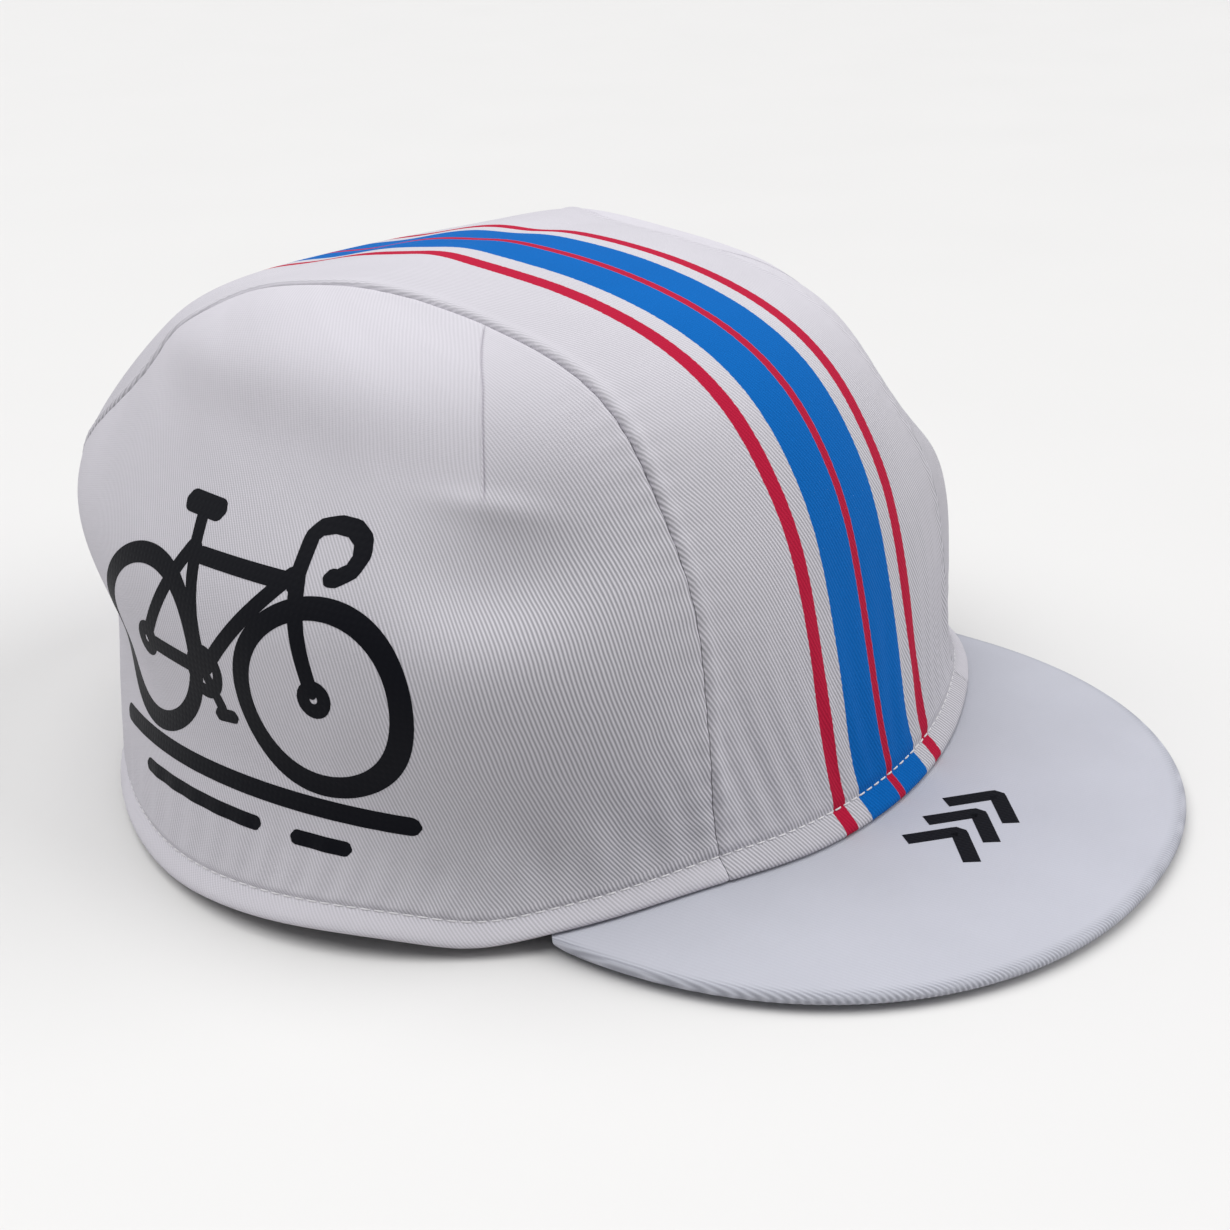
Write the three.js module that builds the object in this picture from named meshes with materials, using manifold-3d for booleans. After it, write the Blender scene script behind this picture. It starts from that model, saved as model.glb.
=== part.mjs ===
// Cycling cap: a soft cotton crown of three panels with a turned hem, and a short peak under its front.
// +Z is up and the peak points to -Y, so the wearer's right side is -X. The cap stands on its rim and
// on the front of its peak, and its origin is the middle of its footprint. All lengths are in mm.
import * as THREE from 'three';
import { mergeVertices } from 'three/addons/utils/BufferGeometryUtils.js';
import Module from 'manifold-3d';

const wasm = await Module();
wasm.setup();

// Crown: the reaches of its rim from the middle of the head opening, its height, how far in front of
// that middle its top lies, and how far the rim rises off the floor at the front and at the sides
const rimFront = 84;
const rimBack = 88.5;
const rimSide = 96;
const crownHeight = 97.5;
const topForward = 2.2;
const frontLift = 3.3;
const sideLift = 1.4;
const clothWall = 1.2;

// The rim's lowest footPress mm are pressed flat on the floor. Its waves are the same on both sides:
// the middle and half width of each are angles from the front in degrees, and its lift is in mm.
const footPress = 0.4;
const rimWaves = [
  { name: 'rise over the peak', angle: 29, wide: 12, lift: 2.3 },
  { name: "sag beside the peak's corner", angle: 53, wide: 6.5, lift: -1.4 },
  { name: 'rise of the side', angle: 68, wide: 9, lift: 0.5 },
  { name: 'sag toward the back', angle: 98, wide: 14, lift: -1 },
];

// Seams between the centre panel and the side panels: their distances from the middle plane at the
// top, at the front hem, at the back above backCornerHeight and at the back hem, and where they
// spread, as shares of rimFront and rimBack from the middle
const seamTop = 36;
const seamFront = 45.5;
const seamBack = 58;
const seamBackHem = 52;
const backCornerHeight = 64;
const frontSpread = { start: 0.43, end: 0.9 };
const backSpread = { start: -0.06, end: 0.68 };
const pieceGap = 0.3;

// Hem: a turned edge, stitched down along its top, that lies flat on what the cap stands on
const hemHeight = 4.2;
const hemThickness = 3;
const hemBulge = 0.8;
const hemFlat = 1.4;

// The cloth is thickened level below levelShare of the way up, so that its foot is flat. The wall's
// rows start at wallStart times the hem's height.
const levelShare = 0.15;
const wallStart = 1.3;

// Peak: its reach past the rim, its half width, the exponent of its outline, how much steeper its
// edge rises toward its corners, how far it reaches past the hem inside and outside at the corners,
// its two covers, and the under cover's turned-up lip
const peakReach = 48.5;
const peakHalfWidth = 72;
const peakSquare = 2.16;
const cornerRise = 1.6;
const tuckPastHem = 0.6;
const showPastHem = 0.7;
const peakTopThickness = 1.6;
const peakUnderThickness = 1.1;
const lipWall = 1.2;
const lipHeight = 1.9;

// Sections of the crown from its rim to its top. up is the share of the way along the cloth.
// rise and lean are shares of crownHeight, and a negative lean lowers a section's front.
// front, back and side are shares of rimFront, rimBack and rimSide. taper widens the front
// and narrows the back, and square is the exponent of the outline, where 2 is an ellipse.
const sections = [
  { up: 0, rise: 0, lean: 0, front: 1, back: 1, side: 1, taper: 0.11, square: 1.93 },
  { up: 0.26, rise: 0.298, lean: -0.148, front: 0.943, back: 1, side: 0.905, taper: 0.06, square: 2.15 },
  { up: 0.5, rise: 0.562, lean: -0.09, front: 0.869, back: 1.037, side: 0.868, taper: 0.12, square: 2.39 },
  { up: 0.7, rise: 0.788, lean: -0.079, front: 0.766, back: 0.815, side: 0.704, taper: 0.01, square: 2.27 },
  { up: 0.86, rise: 0.939, lean: -0.035, front: 0.512, back: 0.44, side: 0.533, taper: -0.13, square: 2.45 },
  {
    up: 1, rise: 1, lean: 0, front: topForward / rimFront, back: -topForward / rimBack,
    side: 0, taper: 0, square: 2.2,
  },
];

// Dents and folds of the cloth, the same on both sides. The middle of each is at angle, in degrees
// from the front, and at up. long and wide are its half lengths as shares of the way from the rim
// to the top, turn is the angle of its long side from the way up, and depth, negative for a bulge,
// is a share of crownHeight.
const dents = [
  { name: 'dart', angle: 59.3, up: 0.785, long: 0.1, wide: 0.018, turn: 0, depth: 0.005 },
  { name: 'pucker under the dart', angle: 51, up: 0.6, long: 0.085, wide: 0.07, turn: 90, depth: 0.04 },
  { name: 'hollow under the dart', angle: 68, up: 0.46, long: 0.13, wide: 0.08, turn: 60, depth: 0.015 },
  { name: 'hollow at the back corner', angle: 120, up: 0.25, long: 0.22, wide: 0.09, turn: 90, depth: 0.022 },
  { name: 'bulge beside the seam', angle: 127, up: 0.865, long: 0.05, wide: 0.04, turn: 90, depth: -0.018 },
  { name: 'hollow behind the top', angle: 180, up: 0.84, long: 0.055, wide: 0.05, turn: 90, depth: 0.012 },
  { name: 'fold across the top', angle: 180, up: 0.95, long: 0.2, wide: 0.018, turn: 90, depth: 0.012 },
];

// Fineness of the meshes
const crownColumns = 64;
const crownRows = 12;
const peakStations = 36;
const seamSteps = 72;
const blockSteps = 11;

const degrees = Math.PI / 180;
const hemMiddle = hemBulge - hemThickness / 2;
const peakThickness = peakTopThickness + pieceGap + peakUnderThickness;

// A natural cubic spline through one column of the sections. endSlope, where given, is its slope at the top.
function smoothColumn(key, endSlope = null) {
  const at = sections.map((row) => row.up);
  const value = sections.map((row) => row[key]);
  const last = sections.length - 1;
  const slope = (i) => (value[i + 1] - value[i]) / (at[i + 1] - at[i]);
  const bend = new Array(last + 1).fill(0);
  const carry = new Array(last + 1).fill(0);
  for (let i = 1; i < last; i++) {
    const span = at[i + 1] - at[i - 1];
    const share = (at[i] - at[i - 1]) / span;
    const pivot = share * carry[i - 1] + 2;
    carry[i] = (share - 1) / pivot;
    bend[i] = ((6 * (slope(i) - slope(i - 1))) / span - share * bend[i - 1]) / pivot;
  }
  if (endSlope !== null) {
    const end = (3 * (endSlope - slope(last - 1))) / (at[last] - at[last - 1]);
    bend[last] = (end - 0.5 * bend[last - 1]) / (0.5 * carry[last - 1] + 1);
  }
  for (let i = last - 1; i >= 0; i--) {
    bend[i] += carry[i] * bend[i + 1];
  }
  return (x) => {
    const i = Math.max(0, Math.min(last, at.findIndex((start) => start >= x)) - 1);
    const step = at[i + 1] - at[i];
    const far = (x - at[i]) / step;
    const near = 1 - far;
    const sag = ((near ** 3 - near) * bend[i] + (far ** 3 - far) * bend[i + 1]) * (step ** 2 / 6);
    return near * value[i] + far * value[i + 1] + sag;
  };
}

const column = {
  rise: smoothColumn('rise', 0),
  lean: smoothColumn('lean'),
  front: smoothColumn('front'),
  back: smoothColumn('back'),
  side: smoothColumn('side'),
  taper: smoothColumn('taper'),
  square: smoothColumn('square'),
};

// How far the rim rises off the floor. Its back lies flat on it.
function rimLift(angle) {
  let lift = (frontLift + footPress) * (1 + Math.cos(angle)) / 2 + sideLift * Math.sin(angle) ** 2;
  const fromFront = Math.acos(Math.cos(angle)) / degrees;
  for (const wave of rimWaves) {
    lift += wave.lift * Math.exp(-(((fromFront - wave.angle) / wave.wide) ** 2));
  }
  return Math.max(0, lift - footPress);
}

// A point of the crown's outer face before its dents. angle turns from the front over the wearer's
// right side to the back.
function crownPoint(angle, up) {
  const power = 2 / column.square(up);
  const along = Math.sign(Math.cos(angle)) * Math.abs(Math.cos(angle)) ** power;
  const across = Math.sign(Math.sin(angle)) * Math.abs(Math.sin(angle)) ** power;
  const front = column.front(up) * rimFront;
  const back = column.back(up) * rimBack;
  return new THREE.Vector3(
    -column.side(up) * rimSide * across * (1 + column.taper(up) * along),
    (back - front) / 2 - ((back + front) / 2) * along,
    (column.rise(up) + column.lean(up) * along) * crownHeight + rimLift(angle) * (1 - up) ** 2,
  );
}

function crownNormal(angle, up) {
  const step = 0.002;
  const around = crownPoint(angle + step, up).sub(crownPoint(angle - step, up));
  const upward = crownPoint(angle, up + step).sub(crownPoint(angle, Math.max(0, up - step)));
  const normal = upward.cross(around);
  normal.z *= Math.min(1, up / levelShare);
  return normal.normalize();
}

// The depth of all dents at one place, in mm
function dentDepth(angle, up) {
  const right = (1 - up) * Math.abs(Math.sin(angle));
  const forward = (1 - up) * Math.cos(angle);
  let depth = 0;
  for (const dent of dents) {
    const bearing = dent.angle * degrees;
    const offRight = right - (1 - dent.up) * Math.sin(bearing);
    const offForward = forward - (1 - dent.up) * Math.cos(bearing);
    const heading = bearing + dent.turn * degrees;
    const lengthwise = (offRight * Math.sin(heading) + offForward * Math.cos(heading)) / dent.long;
    const sideways = (offRight * Math.cos(heading) - offForward * Math.sin(heading)) / dent.wide;
    depth += dent.depth * crownHeight * Math.exp(-(lengthwise ** 2) - sideways ** 2);
  }
  return depth;
}

// A point of the cloth, out mm outside the crown's outer face
function clothPoint(angle, up, out) {
  const normal = crownNormal(angle, up);
  return crownPoint(angle, up).addScaledVector(normal, out - dentDepth(angle, up) * Math.min(1, up / levelShare));
}

// The share of the way up that lies height mm above the rim
function upAt(angle, height) {
  const step = 0.02;
  return (height * step) / crownPoint(angle, step).distanceTo(crownPoint(angle, 0));
}

// The hem's section, outside first: along is a share of hemHeight and out is in mm
const hemInside = hemBulge - hemThickness;
const hemSection = [
  { along: 1, out: 0 },
  { along: 0.85, out: hemBulge * 0.8 },
  { along: 0.45, out: hemBulge },
  { along: 0.08, out: hemBulge * 0.6 },
  { along: 0, out: hemMiddle + hemFlat / 2 },
  { along: 0, out: hemMiddle - hemFlat / 2 },
  { along: 0.08, out: hemInside * 0.95 },
  { along: 0.85, out: hemInside },
  { along: 1, out: hemInside * 0.7 },
];

// A solid from triangles whose corners are shared
function solidOf(positions, faces) {
  const geometry = new THREE.BufferGeometry();
  geometry.setAttribute('position', new THREE.Float32BufferAttribute(positions, 3));
  geometry.setIndex(faces);
  return toSolid(geometry);
}

function toSolid(geometry) {
  geometry.deleteAttribute('normal');
  geometry.deleteAttribute('uv');
  const merged = mergeVertices(geometry, 1e-4);
  return new wasm.Manifold(new wasm.Mesh({
    numProp: 3,
    vertProperties: new Float32Array(merged.attributes.position.array),
    triVerts: new Uint32Array(merged.index.array),
  }));
}

function toGeometry(solid) {
  const mesh = solid.getMesh();
  const geometry = new THREE.BufferGeometry();
  geometry.setAttribute('position', new THREE.Float32BufferAttribute(mesh.vertProperties, 3));
  geometry.setIndex(Array.from(mesh.triVerts));
  return geometry;
}

// The whole crown before it is parted into panels: rings from the top down the outer face,
// round the hem and up the inner face
function crownShell() {
  const rings = [];
  for (let row = crownRows - 1; row >= 0; row--) {
    rings.push({ share: row / crownRows, out: 0 });
  }
  rings.push(...hemSection);
  for (let row = 0; row < crownRows; row++) {
    rings.push({ share: row / crownRows, out: -clothWall });
  }
  const positions = [];
  for (const ring of rings) {
    for (let i = 0; i < crownColumns; i++) {
      const angle = (2 * Math.PI * i) / crownColumns;
      const low = upAt(angle, hemHeight * (ring.along ?? wallStart));
      const up = ring.share === undefined ? low : low + (1 - low) * ring.share;
      positions.push(...clothPoint(angle, up, ring.out).toArray());
    }
  }
  const top = crownPoint(0, 1);
  top.z -= dentDepth(0, 1);
  const outerTop = positions.length / 3;
  positions.push(top.x, top.y, top.z, top.x, top.y, top.z - clothWall);
  const faces = [];
  const lastRing = (rings.length - 1) * crownColumns;
  for (let i = 0; i < crownColumns; i++) {
    const next = (i + 1) % crownColumns;
    faces.push(outerTop, next, i);
    faces.push(outerTop + 1, lastRing + i, lastRing + next);
    for (let ring = 0; ring < rings.length - 1; ring++) {
      const high = ring * crownColumns;
      const low = high + crownColumns;
      faces.push(high + i, low + next, low + i, high + i, high + next, low + next);
    }
  }
  return solidOf(positions, faces);
}

// The distance of the seams from the middle plane, at each place from front to back and each height
function seamDistance(y, z) {
  const frontShare = Math.max(0, (-y / rimFront - frontSpread.start) / (frontSpread.end - frontSpread.start));
  const backShare = THREE.MathUtils.smoothstep(y / rimBack, backSpread.start, backSpread.end);
  const drawnIn = (seamBack - seamBackHem) * Math.max(0, 1 - z / backCornerHeight);
  return seamTop + (seamFront - seamTop) * frontShare ** 2 + (seamBack - drawnIn - seamTop) * backShare;
}

// A block that stands past the crown all round: the middle strip between the seams for side 0, or
// what lies past the seam of one side
function seamBlock(side) {
  const margin = 20;
  const block = new THREE.BoxGeometry(
    2, rimFront + rimBack + 2 * margin, crownHeight + 2 * margin, 1, seamSteps, blockSteps,
  );
  block.translate(0, (rimBack - rimFront) / 2, crownHeight / 2);
  const corner = block.attributes.position;
  for (let i = 0; i < corner.count; i++) {
    const end = Math.sign(corner.getX(i));
    const seam = seamDistance(corner.getY(i), corner.getZ(i));
    if (side === 0) {
      corner.setX(i, end * (seam - pieceGap / 2));
    } else {
      corner.setX(i, side * (end === side ? rimSide + margin : seam + pieceGap / 2));
    }
  }
  return toSolid(block);
}

// The angle at which the front half of the rim reaches a distance from the middle plane
function rimAngleAt(distance) {
  let low = 0;
  let high = Math.PI / 2;
  for (let i = 0; i < 40; i++) {
    const middle = (low + high) / 2;
    if (-crownPoint(middle, 0).x < distance) {
      low = middle;
    } else {
      high = middle;
    }
  }
  return low;
}

// The peak's outline: its tucked inner edge follows the inside of the hem, and its outer edge is a
// rounded bow between its corners, which lie where the rim is as wide as the peak
const cornerAngle = rimAngleAt(peakHalfWidth);
const peakTuck = hemThickness - hemBulge + tuckPastHem;
const peakShow = hemBulge + showPastHem;

// One station of the peak, from 0 in the middle to 1 at its right corner and -1 at its left corner
function peakStation(t) {
  const angle = t * cornerAngle;
  const rim = crownPoint(angle, 0);
  const out = crownNormal(angle, 0);
  const inner = rim.clone().addScaledVector(out, -peakTuck);
  const corner = crownPoint(cornerAngle, 0).addScaledVector(crownNormal(cornerAngle, 0), peakShow);
  const bow = Math.cos(t * Math.PI / 2) ** (2 / peakSquare);
  const spread = Math.sign(t) * Math.abs(Math.sin(t * Math.PI / 2)) ** (2 / peakSquare);
  const outer = new THREE.Vector3(
    spread * corner.x,
    corner.y - (rimFront + peakReach + corner.y) * bow,
    0,
  );
  const reach = Math.hypot(outer.x - inner.x, outer.y - inner.y);
  const hemTop = rimLift(angle) - pieceGap;
  const cornerTop = rimLift(cornerAngle) - pieceGap;
  const edgeTop = peakThickness + (cornerTop - peakThickness) * (1 - bow) ** cornerRise;
  return { inner, outer, reach, hemTop, edgeTop };
}

// A point of the peak: inset mm inside its outer edge, and down mm below its upper face
function peakPoint(station, inset, down) {
  const hemEnd = Math.min(peakTuck + peakShow, station.reach);
  const fromInner = station.reach - inset;
  const slope = THREE.MathUtils.clamp((fromInner - hemEnd) / Math.max(1, station.reach - hemEnd), 0, 1);
  const place = station.inner.clone().lerp(station.outer, fromInner / station.reach);
  place.z = station.hemTop + (station.edgeTop - station.hemTop) * slope - down;
  return place;
}

// The sections of the two covers. inset is in mm, and across is a share of the way from the outer
// edge to the inner one.
const lipTop = peakThickness - lipHeight;
const boardInset = lipWall + pieceGap;
const boardFoot = lipTop - pieceGap;
const topSection = [
  { inset: 0.6, down: 0 },
  { inset: 0.15, down: 0.15 },
  { inset: 0, down: boardFoot * 0.6 },
  { inset: 0.1, down: boardFoot },
  { inset: boardInset, down: boardFoot },
  { inset: boardInset, down: peakTopThickness },
  { across: 0.5, down: peakTopThickness },
  { across: 1, down: peakTopThickness },
  { across: 1, down: 0 },
  { across: 0.7, down: 0 },
  { across: 0.35, down: 0 },
];
const underTop = peakTopThickness + pieceGap;
const underSection = [
  { inset: lipWall, down: lipTop },
  { inset: 0.1, down: lipTop },
  { inset: -0.15, down: lipTop + lipHeight * 0.25 },
  { inset: -0.15, down: lipTop + lipHeight * 0.7 },
  { inset: 0.35, down: peakThickness - 0.1 },
  { inset: 1, down: peakThickness },
  { across: 0.5, down: peakThickness },
  { across: 1, down: peakThickness },
  { across: 1, down: underTop },
  { across: 0.5, down: underTop },
  { inset: lipWall, down: underTop },
];

// A closed solid through the peak's stations, with one section
function peakCover(section) {
  const positions = [];
  const faces = [];
  const count = section.length;
  let flat = [];
  for (let i = 0; i <= peakStations; i++) {
    const station = peakStation((2 * i) / peakStations - 1);
    flat = [];
    for (const { inset, across, down } of section) {
      const fromEdge = inset ?? across * station.reach;
      const point = peakPoint(station, fromEdge, down);
      positions.push(point.x, point.y, point.z);
      flat.push(new THREE.Vector2(fromEdge, -down));
    }
  }
  for (let i = 0; i < peakStations; i++) {
    for (let j = 0; j < count; j++) {
      const here = i * count + j;
      const beside = i * count + ((j + 1) % count);
      faces.push(here, here + count, beside + count, here, beside + count, beside);
    }
  }
  const end = peakStations * count;
  for (const [a, b, c] of THREE.ShapeUtils.triangulateShape(flat, [])) {
    faces.push(a, b, c, end + c, end + b, end + a);
  }
  return solidOf(positions, faces);
}

const whiteTwill = { color: 0xdedbe0, roughness: 0.85, metalness: 0 };
const peakCloth = { color: 0xc8cad2, roughness: 0.8, metalness: 0 };

function addPiece(group, name, solid, look) {
  const mesh = new THREE.Mesh(toGeometry(solid), new THREE.MeshStandardMaterial(look));
  mesh.name = name;
  group.add(mesh);
}

const cap = new THREE.Group();
const shell = crownShell();
addPiece(cap, 'centre_panel', shell.intersect(seamBlock(0)), whiteTwill);
addPiece(cap, 'side_panel_right', shell.intersect(seamBlock(-1)), whiteTwill);
addPiece(cap, 'side_panel_left', shell.intersect(seamBlock(1)), whiteTwill);
addPiece(cap, 'peak_top', peakCover(topSection), peakCloth);
addPiece(cap, 'peak_under', peakCover(underSection), peakCloth);

// The origin is the middle of the footprint, on the floor
const box = new THREE.Box3().setFromObject(cap);
const middle = box.getCenter(new THREE.Vector3());
cap.position.set(-middle.x, -middle.y, -box.min.z);

export default cap;
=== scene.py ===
"""A soft cotton cycling cap: its cloth panels, hem, peak, stitches and prints, built round its CAD frame.

The shape functions work in mm, in the frame in which the middle of the head opening is the origin.
"""

import math

import bpy
import numpy as np
from mathutils import Matrix, Vector


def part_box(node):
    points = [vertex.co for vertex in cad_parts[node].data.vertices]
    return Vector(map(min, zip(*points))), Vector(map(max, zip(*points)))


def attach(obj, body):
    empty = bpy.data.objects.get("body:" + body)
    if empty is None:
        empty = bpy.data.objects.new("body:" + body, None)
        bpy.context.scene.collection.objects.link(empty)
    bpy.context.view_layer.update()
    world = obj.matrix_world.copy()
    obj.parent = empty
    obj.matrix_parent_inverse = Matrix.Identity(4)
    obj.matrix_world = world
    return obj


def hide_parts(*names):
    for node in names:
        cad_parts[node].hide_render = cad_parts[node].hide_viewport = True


bl_info = {
    "name": "Cycling cap",
    "version": (1, 0, 0),
    "blender": (4, 5, 0),
    "location": "3D View > Sidebar > Cap",
    "description": "Builds a soft cotton cycling cap on its CAD frame",
    "category": "Add Mesh",
}

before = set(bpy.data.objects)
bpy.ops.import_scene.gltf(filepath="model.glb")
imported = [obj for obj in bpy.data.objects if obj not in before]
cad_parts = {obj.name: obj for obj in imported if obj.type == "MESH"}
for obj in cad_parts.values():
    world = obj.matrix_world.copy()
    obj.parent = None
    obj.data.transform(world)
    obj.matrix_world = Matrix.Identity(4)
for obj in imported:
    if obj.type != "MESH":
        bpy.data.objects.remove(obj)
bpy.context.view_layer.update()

MM = 0.001
RIGHT, LEFT = -1, 1


def linear(code):
    """The linear colour, with alpha 1, of an sRGB hex code."""
    parts = [int(code[i : i + 2], 16) / 255 for i in (1, 3, 5)]
    return (*[c / 12.92 if c <= 0.04045 else ((c + 0.055) / 1.055) ** 2.4 for c in parts], 1.0)


def length(name, description, default):
    """A property for a length, whose default is given in mm."""
    return bpy.props.FloatProperty(
        name=name, description=description, default=default * MM, min=0, unit="LENGTH", precision=4
    )


def colour(name, description, code):
    """A property for a colour, whose default is given as an sRGB hex code."""
    return bpy.props.FloatVectorProperty(
        name=name, description=description, default=linear(code), size=4, subtype="COLOR", min=0, max=1
    )


class CapSizes(bpy.types.PropertyGroup):
    """The cap's sizes, the same as its solids'"""

    rim_front: length("Rim front", "From the middle of the head opening to the front of the rim", 84)
    rim_back: length("Rim back", "From the middle of the head opening to the back of the rim", 88.5)
    rim_side: length("Rim side", "From the middle of the head opening to the sides of the rim", 96)
    crown_height: length("Crown height", "From the floor to the top of the crown", 97.5)
    top_forward: length("Top forward", "How far the top lies in front of the middle", 2.2)
    front_lift: length("Front lift", "How far the front of the rim is held up by the peak", 3.3)
    side_lift: length("Side lift", "How far the sides of the rim arch up", 1.4)
    foot_press: length("Foot press", "How much of the rim's lowest part is pressed flat", 0.4)
    cloth_wall: length("Cloth wall", "The thickness of the cloth", 1.2)
    seam_top: length("Seam at the top", "From the middle plane to the seams at the top", 36)
    seam_front: length("Seam at the front", "From the middle plane to the seams at the front hem", 45.5)
    seam_back: length("Seam at the back", "From the middle plane to the seams at the back corner", 58)
    seam_back_hem: length("Seam at the back hem", "From the middle plane to the seams at the back hem", 52)
    back_corner: length("Back corner", "The height of the corner between the top and the back", 64)
    hem_height: length("Hem height", "From the rim to the row of stitches", 4.2)
    peak_reach: length("Peak reach", "From the front of the rim to the front of the peak", 48.5)
    peak_half_width: length("Peak half width", "From the middle plane to the peak's corners", 72)
    twill_pitch: length("Twill pitch", "From one diagonal rib of the twill to the next", 0.7)
    red_line_at: length("Red line place", "From the middle plane to the outer red lines", 16.6)
    red_line_width: length("Red line width", "The width of the outer red lines", 3.4)
    blue_half_width: length("Blue half width", "Half the width of the blue stripe", 10.6)
    middle_line_width: length("Middle line width", "The width of the red line in the blue stripe", 2.1)
    stitch_pitch: length("Stitch pitch", "From one stitch of the hem to the next", 2.45)
    stitch_length: length("Stitch length", "The length of one stitch of the hem", 1.9)
    thread_radius: length("Thread radius", "Half the thickness of the thread", 0.18)


class CapColours(bpy.types.PropertyGroup):
    """The colours of the cap's cloths, prints and threads"""

    cloth: colour("Cloth", "The white cotton twill", "#D0CDD4")
    # Painted shade in the grooves between the twill's ribs, not a colour of the cloth
    cloth_groove_shade: colour("Cloth groove", "The twill between its ribs", "#949398")
    blue: colour("Blue", "The wide printed stripe", "#0062B2")
    red: colour("Red", "The printed lines", "#B4183A")
    print: colour("Print", "The dark emblem and chevrons", "#0C0D14")
    # Painted shade in the grooves between the peak's twill ribs
    peak_groove_shade: colour("Peak groove", "The peak's twill between its ribs", "#9C9DA6")
    peak: colour("Peak", "The smooth cover of the peak", "#B8B9C2")
    thread: colour("Thread", "The stitches", "#DAD8DB")
    floor: colour("Floor", "The floor under the cap", "#D9D8D7")


def sizes():
    """The sizes in mm, by name."""
    group = bpy.context.scene.cap_sizes
    return {key: getattr(group, key) / MM for key in CapSizes.__annotations__}


# Sections of the crown from its rim to its top. up is the share of the way along the cloth. rise and
# lean are shares of the crown's height, and a negative lean lowers a section's front. front, back and
# side are shares of the rim's reaches. taper widens the front, and square is the outline's exponent.
SECTION_KEYS = ("up", "rise", "lean", "front", "back", "side", "taper", "square")
SECTIONS = [
    (0, 0, 0, 1, 1, 1, 0.11, 1.93),
    (0.26, 0.298, -0.148, 0.943, 1, 0.905, 0.06, 2.15),
    (0.5, 0.562, -0.09, 0.869, 1.037, 0.868, 0.12, 2.39),
    (0.7, 0.788, -0.079, 0.766, 0.815, 0.704, 0.01, 2.27),
    (0.86, 0.939, -0.035, 0.512, 0.44, 0.533, -0.13, 2.45),
    (1, 1, 0, 2.2 / 84, -2.2 / 88.5, 0, 0, 2.2),
]

# Waves of the rim: middle and half width in degrees from the front, and lift in mm
RIM_WAVES = [(29, 12, 2.3), (53, 6.5, -1.4), (68, 9, 0.5), (98, 14, -1)]

# Dents of the cloth: side (0 both, RIGHT or LEFT), the middle's angle from the front in degrees and
# its share of the way up, half length and half width as shares of the way from the rim to the top,
# turn of the long side from the way up in degrees, and depth in mm, negative for a bulge
DENTS = [
    (0, 59.3, 0.785, 0.1, 0.018, 0, 0.4875),
    (0, 51, 0.6, 0.085, 0.07, 90, 3.9),
    (0, 54, 0.678, 0.045, 0.016, 96, -1),
    (0, 68, 0.46, 0.13, 0.08, 60, 1.4625),
    (0, 120, 0.25, 0.22, 0.09, 90, 2.145),
    (0, 127, 0.865, 0.05, 0.04, 90, -1.755),
    (0, 180, 0.84, 0.055, 0.05, 90, 1.17),
    (RIGHT, 119.5, 0.931, 0.06, 0.03, -29.5, -1),
    (LEFT, 135, 0.929, 0.05, 0.024, -45, 0.8),
    (0, 59, 0.125, 0.05, 0.035, 10, 0.5),
    (0, 47.5, 0.18, 0.075, 0.03, -12, 0.7),
    (0, 36.5, 0.2, 0.07, 0.03, -8, 0.6),
    (0, 53, 0.17, 0.06, 0.025, 0, -0.5),
    (0, 42, 0.2, 0.08, 0.025, -10, -0.5),
    (0, 21, 0.36, 0.13, 0.05, 0, 0.8),
]

# How finely the cloth is drawn
SEAM_STEPS = 700
CENTRE_COLUMNS = 105
CENTRE_ROWS = 300
SIDE_ROWS = 130
DART_COLUMNS = 60
SIDE_COLUMNS = 170
DART_STEPS = 60

# The centre panel ends just inside the seams, and the side panels start just outside them
CENTRE_EDGE = 0.998
SIDE_EDGE = 1.002
SIDE_TOP = 0.012
INNER_FOLLOW = 0.25

# The dart, from its end up: shares of the way up and angles from the front in degrees
DART_UP = (0.683, 0.75, 0.785, 0.82, 0.887)
DART_ANGLE = (56.1, 58.3, 59.3, 60.2, 63.5)

# The seams: half width of their groove, its depth low down and what is added high up, and the ridges
# beside it on the centre panel and on the side panels, in mm
SEAM_GROOVE_WIDE = 0.42
SEAM_GROOVE_LOW = 0.2
SEAM_GROOVE_RISE = 0.4
SEAM_RIDGE_CENTRE = 0.34
SEAM_RIDGE_SIDE = 0.06

# The dart's groove, in mm
DART_GROOVE = 0.4
DART_GROOVE_WIDE = 0.22

# Ripples of the cloth beside the seams, above the hem and on the hem's roll: from one to the next in mm,
# how uneven they are and over what stretch
SEAM_WAVES = (5.1, 1.6, 13)
HEM_PULLS = (6.3, 2.2, 19)
HEM_ROLLS = (4.7, 1.5, 11)
HEM_PULL_HIGH = 0.2
HEM_ROLL_HIGH = 0.06

# The short puckers over the seams: from one to the next, their slant and their height, in mm
PUCKER_PITCH = 2.1
PUCKER_SLANT = -1.2
PUCKER_HIGH = 0.11

# The rows of stitches: name, place outside the cloth's outer face in mm, shift in stitches, and which way
# they stand out
STITCH_ROWS = [("hem_stitches", -0.32, 0, 1), ("hem_stitches_inside", -1.85, 0.5, -1)]

# The rows' height above the rim, and how far the print slips sideways below it, in mm
SEAM_OF_HEM = 4.2
HEM_SLIP = 0.4

# The twill's ribs: their angle on the centre panel, and the side panels' place to measure from, both in
# degrees, how many lie in a pitch on the side panels, and how much they lean at some heights along the
# cloth in mm, before and behind the dart
CENTRE_RIB_ANGLE = 66
RIB_MIDDLE = 85
RIB_SPREAD = 0.99
RIB_LEANS = [
    (0, 1.1, 1.1), (4.5, 1.1, 1.1), (6, 0.7, 0.7), (17, 0.68, 0.68), (24, 0.45, 0.45), (37, 0.16, 0.16),
    (48, 0.35, 0.35), (62, 0.87, 0.87), (79, 1.18, 1.18), (86, 1.45, 0.7), (91, 1.62, 0.68), (97, 1.75, 0.63),
]

# A wave texture of this scale repeats once in each unit, and the threads across the ribs are this far
# apart, in mm
WAVE_SCALE = 0.31416
THREAD_PITCH = 0.45

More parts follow.
